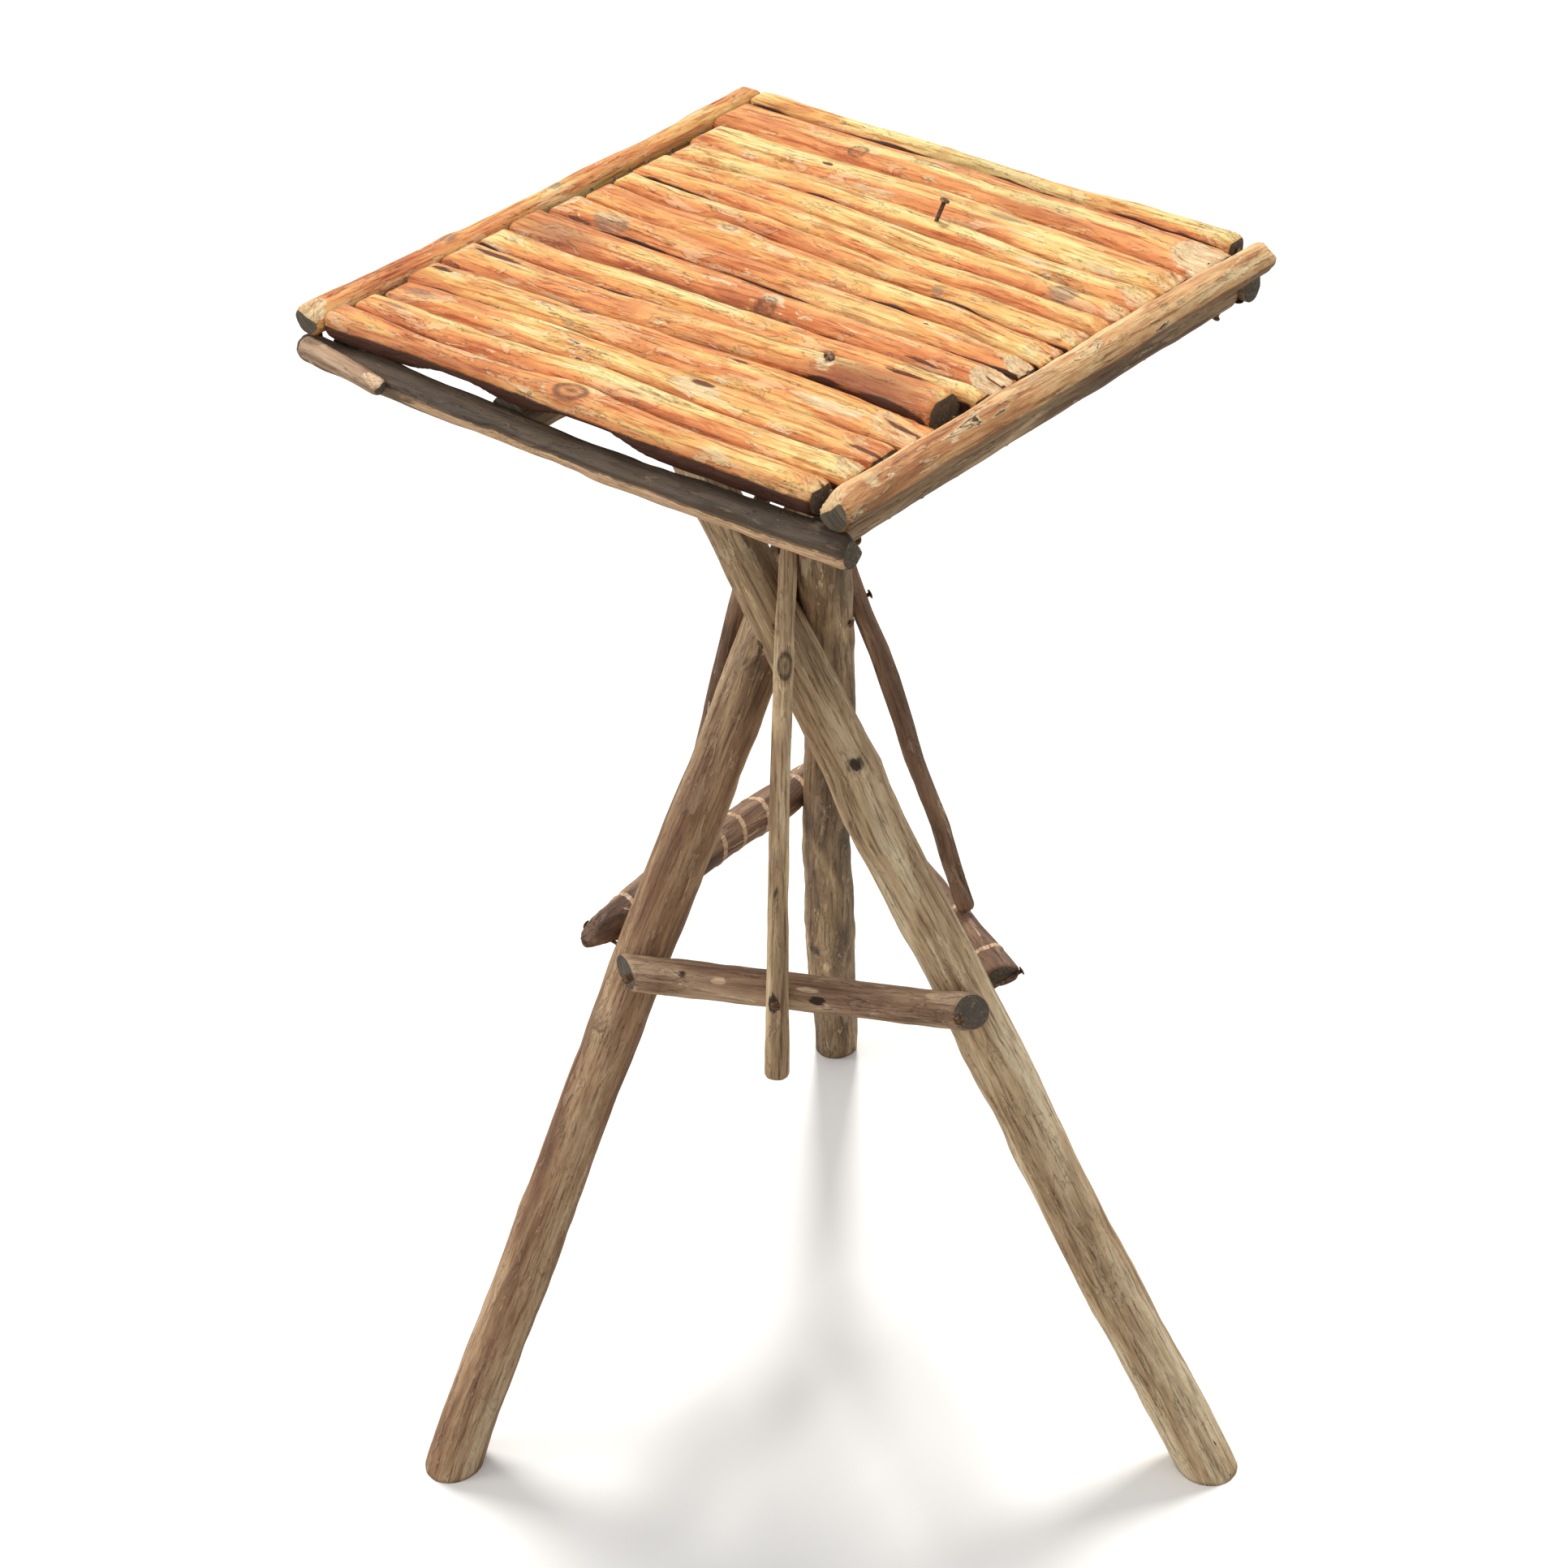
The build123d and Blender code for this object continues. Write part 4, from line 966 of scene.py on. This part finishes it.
def top_stick(number):
    node = f"slat_{number + 1:02d}"
    low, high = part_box(node)
    count = int((high.x - low.x) / MM / TOP_STEP)
    x = np.linspace(low.x / MM + TOP_INSET, high.x / MM - TOP_INSET, count + 1)
    along = x - x[0]
    place = x - TOP_X
    front, back = top_edges(number, place, along)
    half = (back - front) / 2
    thick = np.full(count + 1, THICK)
    if number == RAISED_STICK:
        thick = THICK + (THICK_RAISED - THICK) * np.clip((place - RAISED_FROM) / RAISED_OVER, 0, 1)
    rise = RISE * thick
    tall = (thick - rise)[:, None]
    centres = np.stack([x, (front + back) / 2 + TOP_Y, SEAT + rise], axis=1)
    ring = ring_directions(TOP_SIDES, np.array([0.0, 1.0, 0.0]), np.array([0.0, 0.0, 1.0]))
    cosine, sine = ring[:, 1][None, :], ring[:, 2][None, :]
    oval = ((np.abs(cosine) / half[:, None]) ** SQUARENESS
            + (np.abs(sine) / tall) ** SQUARENESS) ** (-1 / SQUARENESS)
    stick = Stick(node + "_stick", centres, ring, oval, along)
    stick.roughen(10 * number + 5, TOP_LUMPS, TOP_RIDGES)
    crown = np.where(sine > 0, tall / np.maximum(sine, 0.01), FAR)
    stick.radii = np.minimum(stick.radii, crown)
    stamp_marks(stick, node)
    stick.radii = np.minimum(stick.radii, crown)
    depth, length, bare, left_depth, left_length, left_bare = CUTS[number]
    stick.hew(True, length, depth, UP_TURN, bare, hollow=0.2)
    stick.hew(False, left_length, left_depth, UP_TURN, left_bare)
    stick.round_ends(3.5, 1.2)
    floor = rise[:, None] + 0 * sine
    if number == 0:
        floor = arched_floor(floor, place, cosine)
    seat = np.where(sine < 0, floor / np.maximum(-sine, 0.01), FAR)
    stick.radii = np.minimum(stick.radii, seat)
    paint_crevice_shade(stick, number, half, cosine, sine)
    stick.tint("shade", SHADES[number])
    # Painted highlight along the crown of each stick, and painted shade on its flanks.
    stick.tint("shade", 0.14 * (np.clip(sine, 0, 1) - 0.66))
    stick.build(top_wood, "peeled_top_wood", node, number + 1)


for slat_number in range(16):
    top_stick(slat_number)


# ------------------------------------------------------- rails, bearers, legs, stretchers, braces
# Node, finish, record slot, ring spacing, sides, lumps, ridges, knife cuts
# (at the far end, length, depth, side as a share of a turn, bareness).
STICKS = [
    ("left_side_rail", top_wood, "peeled_top_wood", 1.9, 40, 0.7, 0.3,
     ((False, 12, 5, 0.2, 0.8), (True, 8, 3, 0.25, 0.1))),
    ("right_side_rail", rail_wood, "peeled_top_wood", 1.9, 40, 0.7, 0.35,
     ((False, 13, 5, 0.36, 1.0), (True, 6, 2, 0.15, 0.1))),
    ("front_rail", shaded_under_wood, "peeled_leg_wood", 2.0, 36, 0.8, 0.35, ((True, 12, 4, 0.4, 0.4),)),
    ("back_rail", shaded_under_wood, "peeled_leg_wood", 2.4, 32, 0.6, 0.3, ()),
    ("left_bearer", shaded_under_wood, "peeled_leg_wood", 2.4, 32, 0.5, 0.3, ()),
    ("centre_bearer", shaded_under_wood, "peeled_leg_wood", 2.4, 36, 0.6, 0.3, ()),
    ("right_bearer", leg_wood, "peeled_leg_wood", 2.2, 36, 0.6, 0.3, ()),
    ("left_leg", leg_wood, "peeled_leg_wood", 2.8, 44, 1.0, 0.35, ()),
    ("right_leg", leg_wood, "peeled_leg_wood", 2.8, 44, 1.0, 0.35, ()),
    ("back_leg", leg_wood, "peeled_leg_wood", 2.8, 40, 1.0, 0.35, ()),
    ("front_stretcher", bark_wood, "bark_stick_wood", 1.7, 40, 0.7, 0.3, ()),
    ("right_stretcher", bark_wood, "bark_stick_wood", 1.8, 40, 0.7, 0.3, ()),
    ("left_stretcher", bark_wood, "bark_stick_wood", 1.8, 40, 0.7, 0.3, ()),
    ("front_brace", leg_wood, "bark_stick_wood", 1.8, 30, 0.45, 0.2, ((False, 5, 2, 0.2, 0.0),)),
    ("right_brace", bark_wood, "bark_stick_wood", 1.8, 30, 0.5, 0.2, ()),
    ("left_brace", bark_wood, "bark_stick_wood", 2.2, 28, 0.4, 0.2, ()),
]
FIRST_SEED = 20
# How light each leg is at a few heights; each leg darkens towards the top, painted shade under the table
# top.
TONE_AND_SHADE_HEIGHTS = (0, 120, 300, 480, 620)
LEG_TONE_AND_SHADE = {
    "right_leg": (0.13, 0.15, 0.15, 0.08, -0.02),
    "left_leg": (0.06, 0.04, -0.02, -0.02, -0.08),
    "back_leg": (-0.12, -0.10, -0.05, -0.08, -0.16),
}
# How light the other sticks are; the front rail and the right bearer under the top are darker as painted
# shade.
SHADE = {
    "right_bearer": -0.08, "front_rail": -0.08, "right_brace": -0.06, "front_brace": 0.04,
    "left_stretcher": -0.05, "right_stretcher": -0.07, "front_stretcher": 0.14,
}
# Ends cut aslant: at the far end, how far the cut runs along the stick, the side left longest,
# and how much longer the stick is than its solid.
SLANTS = {
    "front_stretcher": ((False, 14.0, 0.5, 0.0), (True, 19.0, 0.6, 0.0)),
    "right_stretcher": ((True, 8.0, 0.35, -8.0),),
    "left_stretcher": ((False, 14.5, 0.81, 8.5),),
}
# Where a stick is not straight: height, shift to the right as the camera sees it, extra width.
BENDS = {
    "left_leg": (
        (0, 2.2, 0.0), (20, 0.6, 1.0), (60, 0.3, 2.4), (110, 0.8, 1.4), (180, 2.1, 1.2), (240, 1.1, 1.2),
        (300, 1.6, 1.2), (350, 1.8, 3.4), (400, 2.4, 1.6), (450, 2.8, 1.0), (490, 1.8, 1.6), (540, 0, 0)),
    "right_leg": (
        (0, 0.0, -1.0), (40, -0.3, 1.6), (80, -0.8, 1.6), (120, -2.1, 3.2), (170, -2.5, 2.4),
        (210, -2.8, 0.8), (240, -2.0, -0.6), (280, -1.4, 1.6), (340, -1.6, 2.2), (380, -2.7, 3.0),
        (420, -2.9, 2.6), (440, -1.2, 1.0), (455, 0.6, 2.0), (480, 0, 0), (540, 0, 0)),
    "right_brace": (
        (320, -1.5, 4.8), (350, -1.5, 4.4), (380, 0.3, 1.6), (410, 1.2, 0.4), (450, 1.5, 0.0),
        (476, 1.2, 0.6), (500, 0.8, 0.8), (525, -1.2, 0.4), (550, -2.0, 0)),
    "back_leg": (
        (0, 0.0, 2.4), (20, 1.0, 2.8), (120, -1.9, 4.0), (160, -2.7, 4.6), (200, -3.2, 2.2),
        (260, -3.9, 0.6), (300, -4.2, 0.0), (340, -2.4, 1.0), (400, -0.3, 0.6), (540, 0, 0)),
}
sideways = np.array((camera_right.x, camera_right.y, 0.0)) / math.hypot(camera_right.x, camera_right.y)


def dress_front_rail(stick):
    """A painted sunlit strip along the lower front, painted shadow of the top on the upper side, and a
    hump near the left end.
    """
    place = stick.centres[:, 0] - TOP_X
    side = stick.signed_turns()
    # Painted sunlight on a strip along the lower front, fading out towards the left end.
    face = np.clip(1.5 - np.abs(side + 0.07) / 0.06, 0, 1)
    peeled = np.clip((place + 115) / 40, 0, 1)
    stick.tint("pale", 1.2 * face * peeled[:, None])
    # Painted shadow of the top on the rail's upper side.
    stick.tint("low", np.clip((side - 0.01) / 0.03, 0, 0.95))
    hump = 3.0 * np.exp(-((place + 120) / 20) ** 2)[:, None]
    stick.radii = stick.radii + hump * np.clip(np.sin(FULL_TURN * side), 0, 1)


def dress_right_side_rail(stick):
    """Painted shade on the lower flank and a painted highlight on the crown."""
    side = stick.signed_turns()
    stick.tint("low", np.where(side > -0.3, np.clip((0.02 - side) / 0.09, 0, 0.9), 0.0))
    stick.tint("shade", 0.12 * np.clip(np.sin(FULL_TURN * side) - 0.1, 0, 1))


def dress_left_leg(stick):
    """Red bark that is left below the crossing."""
    stick.tint("red", 0.38 * np.clip((640 - stick.centres[:, 2]) / 200, 0, 1)[:, None])


DRESS = {
    "front_rail": dress_front_rail,
    "right_side_rail": dress_right_side_rail,
    "left_leg": dress_left_leg,
}
FRONT_RAIL_RADIUS = 9.0      # its largest, which leaves out the side shoot of its solid
COPED_FOOT = 5.0             # how far the right brace's foot is shaped to its stretcher
COPED_RINGS = 12


def other_stick(seed, node, finish, slot, step, sides, lumps, ridges, cuts):
    is_leg = node.endswith("_leg")
    stick = stick_from_solid(node, node + "_stick", step, sides, level=is_leg,
                             limit=FRONT_RAIL_RADIUS if node == "front_rail" else None,
                             trim=COPED_FOOT if node == "right_brace" else 0.0)
    if node == "right_brace":
        stick.straighten_foot(COPED_RINGS)
    if node in BENDS:
        stick.reshape(BENDS[node], sideways)
    if node in DRESS:
        DRESS[node](stick)
    stick.roughen(10 * seed, lumps, ridges)
    stamp_marks(stick, node)
    for at_end, length, depth, turn, bare in cuts:
        stick.hew(at_end, length, depth, turn, bare)
    if not node.endswith(("_leg", "_bearer", "back_rail")):
        stick.round_ends(3.0, 1.2)
    for at_end, slant, turn, longer in SLANTS.get(node, ()):
        stick.slant_end(at_end, slant, turn, longer)
    stick.tint("shade", SHADE.get(node, 0.0))
    # Painted shade along each leg, darker towards the top.
    if node in LEG_TONE_AND_SHADE:
        tones = np.interp(stick.centres[:, 2], TONE_AND_SHADE_HEIGHTS, LEG_TONE_AND_SHADE[node])
        stick.tint("shade", tones[:, None])
    stick.build(finish, slot, node, seed, dome=0.0 if is_leg else END_DOME)


for stick_seed, row in enumerate(STICKS, start=FIRST_SEED):
    other_stick(stick_seed, *row)


SHOOT_START = (-229.0, -167.5, 722.0)
SHOOT_RUN = (64.0, -9.5, -1.0)      # from its start to its cut end
SHOOT_RADII = (6.2, 4.6)
SHOOT_BEND = 1.3                    # how late it turns away from the rail
SHOOT_STEPS = 34
SHOOT_SIDES = 28
SHOOT_SEED = 777


def front_rail_shoot():
    """The side shoot on the front rail, cut off with a knife."""
    share = np.linspace(0, 1, SHOOT_STEPS + 1)
    line = np.stack([SHOOT_START[0] + SHOOT_RUN[0] * share,
                     SHOOT_START[1] + SHOOT_RUN[1] * share ** SHOOT_BEND,
                     SHOOT_START[2] + SHOOT_RUN[2] * share], axis=1)
    ring = ring_directions(SHOOT_SIDES, np.array([0.0, 1.0, 0.0]), np.array([0.0, 0.0, 1.0]))
    radii = SHOOT_RADII[0] + (SHOOT_RADII[1] - SHOOT_RADII[0]) * share
    radii = np.repeat(radii[:, None], SHOOT_SIDES, axis=1)
    shoot = Stick("front_rail_shoot", line, ring, radii, SHOOT_RUN[0] * share)
    shoot.roughen(SHOOT_SEED, 0.5, 0.25)
    shoot.hew(True, 12, 3, 0.3, 0.8)
    shoot.round_ends(2.5, 1.0)
    shoot.tint("shade", 0.16)
    shoot.build(bark_wood, "peeled_leg_wood", "front_rail", 60)


front_rail_shoot()


# ---------------------------------------------------------------- nails
SHANK_THICKNESS = 2.45
HEAD_WIDTH = 5.8
HEAD_HEIGHT = 1.25
POINT_SHARE = 0.8       # thickness of the shank's point beside its own
SHANK_SIDES = 12
HEAD_SEGMENTS = 16
HEAD_RINGS = 8


def wire_nail_tree():
    """Puts a wire nail on every point, its shank along the point's aim and as long as its run."""
    tree = bpy.data.node_groups.new("wire_nails", "GeometryNodeTree")
    face = tree.interface
    face.new_socket(name="Places", in_out="INPUT", socket_type="NodeSocketGeometry")
    for name in ("Shank Thickness", "Head Width", "Head Height"):
        face.new_socket(name=name, in_out="INPUT", socket_type="NodeSocketFloat")
    face.new_socket(name="Iron", in_out="INPUT", socket_type="NodeSocketMaterial")
    face.new_socket(name="Nails", in_out="OUTPUT", socket_type="NodeSocketGeometry")
    nodes, links = tree.nodes, tree.links
    given = nodes.new("NodeGroupInput")
    made = nodes.new("NodeGroupOutput")

    def times(name, factor, target):
        """An input of the tree times a number, into a socket."""
        product = nodes.new("ShaderNodeMath")
        product.operation = "MULTIPLY"
        product.inputs[1].default_value = factor
        links.new(given.outputs[name], product.inputs[0])
        links.new(product.outputs[0], target)

    def point_value(name, kind):
        """A value that each point of the places carries."""
        value = nodes.new("GeometryNodeInputNamedAttribute")
        value.data_type = kind
        value.inputs["Name"].default_value = name
        return value.outputs["Attribute"]

    shank = nodes.new("GeometryNodeMeshCone")
    shank.inputs["Vertices"].default_value = SHANK_SIDES
    shank.inputs["Depth"].default_value = 1.0
    times("Shank Thickness", 0.5, shank.inputs["Radius Bottom"])
    times("Shank Thickness", POINT_SHARE / 2, shank.inputs["Radius Top"])
    ball = nodes.new("GeometryNodeMeshUVSphere")
    ball.inputs["Segments"].default_value = HEAD_SEGMENTS
    ball.inputs["Rings"].default_value = HEAD_RINGS
    ball.inputs["Radius"].default_value = 1.0
    flatten = nodes.new("ShaderNodeCombineXYZ")
    times("Head Width", 0.5, flatten.inputs["X"])
    times("Head Width", 0.5, flatten.inputs["Y"])
    times("Head Height", 0.5, flatten.inputs["Z"])
    lift = nodes.new("ShaderNodeCombineXYZ")
    times("Head Height", -0.5, lift.inputs["Z"])
    head = nodes.new("GeometryNodeTransform")
    links.new(ball.outputs["Mesh"], head.inputs["Geometry"])
    links.new(flatten.outputs[0], head.inputs["Scale"])
    links.new(lift.outputs[0], head.inputs["Translation"])
    turn = nodes.new("FunctionNodeAlignEulerToVector")
    turn.axis = "Z"
    links.new(point_value("aim", "FLOAT_VECTOR"), turn.inputs["Vector"])
    stretch = nodes.new("ShaderNodeCombineXYZ")
    stretch.inputs["X"].default_value = 1.0
    stretch.inputs["Y"].default_value = 1.0
    links.new(point_value("run", "FLOAT"), stretch.inputs["Z"])
    both = nodes.new("GeometryNodeJoinGeometry")
    for shape, scale in ((shank.outputs["Mesh"], stretch.outputs[0]), (head.outputs["Geometry"], None)):
        spread = nodes.new("GeometryNodeInstanceOnPoints")
        links.new(given.outputs["Places"], spread.inputs["Points"])
        links.new(shape, spread.inputs["Instance"])
        links.new(turn.outputs["Rotation"], spread.inputs["Rotation"])
        if scale is not None:
            links.new(scale, spread.inputs["Scale"])
        links.new(spread.outputs["Instances"], both.inputs["Geometry"])
    real = nodes.new("GeometryNodeRealizeInstances")
    links.new(both.outputs["Geometry"], real.inputs["Geometry"])
    smooth = nodes.new("GeometryNodeSetShadeSmooth")
    links.new(real.outputs["Geometry"], smooth.inputs["Geometry"])
    coat = nodes.new("GeometryNodeSetMaterial")
    links.new(smooth.outputs["Geometry"], coat.inputs["Geometry"])
    links.new(given.outputs["Iron"], coat.inputs["Material"])
    links.new(coat.outputs["Geometry"], made.inputs["Nails"])
    return tree


nail_tree = wire_nail_tree()


def islands(node):
    """Points of each separate nail of a node, in metres."""
    mesh = bmesh.new()
    mesh.from_mesh(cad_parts[node].data)
    bmesh.ops.remove_doubles(mesh, verts=mesh.verts, dist=1e-6)
    mesh.verts.index_update()
    met = set()
    groups = []
    for first in mesh.verts:
        if first.index in met:
            continue
        met.add(first.index)
        wave = [first]
        group = []
        while wave:
            vertex = wave.pop()
            group.append(np.array(vertex.co))
            for edge in vertex.link_edges:
                other = edge.other_vert(vertex)
                if other.index not in met:
                    met.add(other.index)
                    wave.append(other)
        groups.append(np.array(group))
    mesh.free()
    return groups


def nail_place(points):
    """Under a nail's head, the direction of its shank, and the shank's length, in metres."""
    middle = points.mean(axis=0)
    axis = np.linalg.svd(points - middle, full_matrices=False)[2][0]
    run = (points - middle) @ axis
    width = np.linalg.norm(points - middle - run[:, None] * axis, axis=1)
    if run[width.argmax()] > 0:
        axis, run = -axis, -run
    on_head = width > 0.9 * width.max()
    under_head = run[on_head].max()
    head = points[on_head].mean(axis=0)
    start = head + axis * (under_head - (head - middle) @ axis)
    return start, axis, run.max() - under_head


def nail_places(node):
    """A mesh with a point for each nail of a node, which carries the nail's aim and run."""
    places, aims, runs = zip(*(nail_place(points) for points in islands(node)))
    mesh = bpy.data.meshes.new(node + "_places")
    mesh.from_pydata([Vector(place) for place in places], [], [])
    layer = mesh.attributes.new("aim", "FLOAT_VECTOR", "POINT")
    layer.data.foreach_set("vector", np.array(aims, np.float32).reshape(-1))
    layer = mesh.attributes.new("run", "FLOAT", "POINT")
    layer.data.foreach_set("value", np.array(runs, np.float32))
    return mesh


def make_nails(node):
    maker = bpy.data.objects.new(node + "_maker", nail_places(node))
    bpy.context.scene.collection.objects.link(maker)
    modifier = maker.modifiers.new("nails", "NODES")
    modifier.node_group = nail_tree
    sockets = nail_tree.interface.items_tree
    inputs = {item.name: item.identifier for item in sockets if item.in_out == "INPUT"}
    modifier[inputs["Shank Thickness"]] = SHANK_THICKNESS * MM
    modifier[inputs["Head Width"]] = HEAD_WIDTH * MM
    modifier[inputs["Head Height"]] = HEAD_HEIGHT * MM
    modifier[inputs["Iron"]] = nail_iron
    bpy.context.view_layer.update()
    graph = bpy.context.evaluated_depsgraph_get()
    result = bpy.data.meshes.new_from_object(maker.evaluated_get(graph))
    result.name = node + "_iron"
    piece = bpy.data.objects.new(node + "_iron", result)
    bpy.context.scene.collection.objects.link(piece)
    maker.modifiers.clear()
    bpy.data.objects.remove(maker)
    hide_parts(node)
    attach(piece, "root")


for nail_node in ("stretcher_nails", "brace_nails", "crossing_nails", "leg_nails", "slat_nails",
                  "rail_nails", "bearer_nails"):
    make_nails(nail_node)


# ---------------------------------------------------------------- floor and light
FLOOR_REACH = 20      # metres on each side
FLOOR_LIT = (0.42, 0.40, 0.36, 1.0)      # what the floor throws back on the table
FLOOR_SEEN = (0.97, 0.97, 0.97, 1.0)
SKY_LIT = 0.62
SKY_SEEN = 1.0
SKY_COLOUR = (1.0, 0.99, 0.97, 1.0)
LAMP_COLOUR = (1.0, 0.97, 0.92)
# Name, strength, softness in degrees and where the light comes from.
LAMPS = (("key", 2.0, 12, (-0.30, 0.42, 1.0)), ("fill", 1.1, 25, (-0.75, -0.75, 0.40)))


def make_floor():
    mesh = bpy.data.meshes.new("floor")
    ends = ((-1, -1), (1, -1), (1, 1), (-1, 1))
    corners = [(x * FLOOR_REACH, y * FLOOR_REACH, 0) for x, y in ends]
    mesh.from_pydata(corners, [], [(0, 1, 2, 3)])
    floor = bpy.data.objects.new("floor", mesh)
    bpy.context.scene.collection.objects.link(floor)
    finish = Finish("pale_floor")
    seen = finish.node("ShaderNodeLightPath").outputs["Is Camera Ray"]
    finish.join(finish.blend(FLOOR_LIT, FLOOR_SEEN, seen), finish.skin.inputs["Base Color"])
    finish.skin.inputs["Roughness"].default_value = 0.9
    finish.skin.inputs["Specular IOR Level"].default_value = 0.0
    mesh.materials.append(finish.material)


def make_sky():
    world = bpy.data.worlds.new("studio")
    bpy.context.scene.world = world
    world.use_nodes = True
    sky = world.node_tree
    background = sky.nodes["Background"]
    path = sky.nodes.new("ShaderNodeLightPath")
    level = sky.nodes.new("ShaderNodeMapRange")
    level.inputs["To Min"].default_value = SKY_LIT
    level.inputs["To Max"].default_value = SKY_SEEN
    sky.links.new(path.outputs["Is Camera Ray"], level.inputs["Value"])
    sky.links.new(level.outputs["Result"], background.inputs["Strength"])
    background.inputs["Color"].default_value = SKY_COLOUR


def make_lamp(name, strength, softness, source):
    data = bpy.data.lights.new(name, "SUN")
    data.energy = strength
    data.angle = math.radians(softness)
    data.color = LAMP_COLOUR
    lamp = bpy.data.objects.new(name, data)
    bpy.context.scene.collection.objects.link(lamp)
    lamp.rotation_euler = Vector(source).to_track_quat("Z", "Y").to_euler()


make_floor()
make_sky()
for lamp_row in LAMPS:
    make_lamp(*lamp_row)
bpy.context.scene.view_settings.view_transform = "Standard"
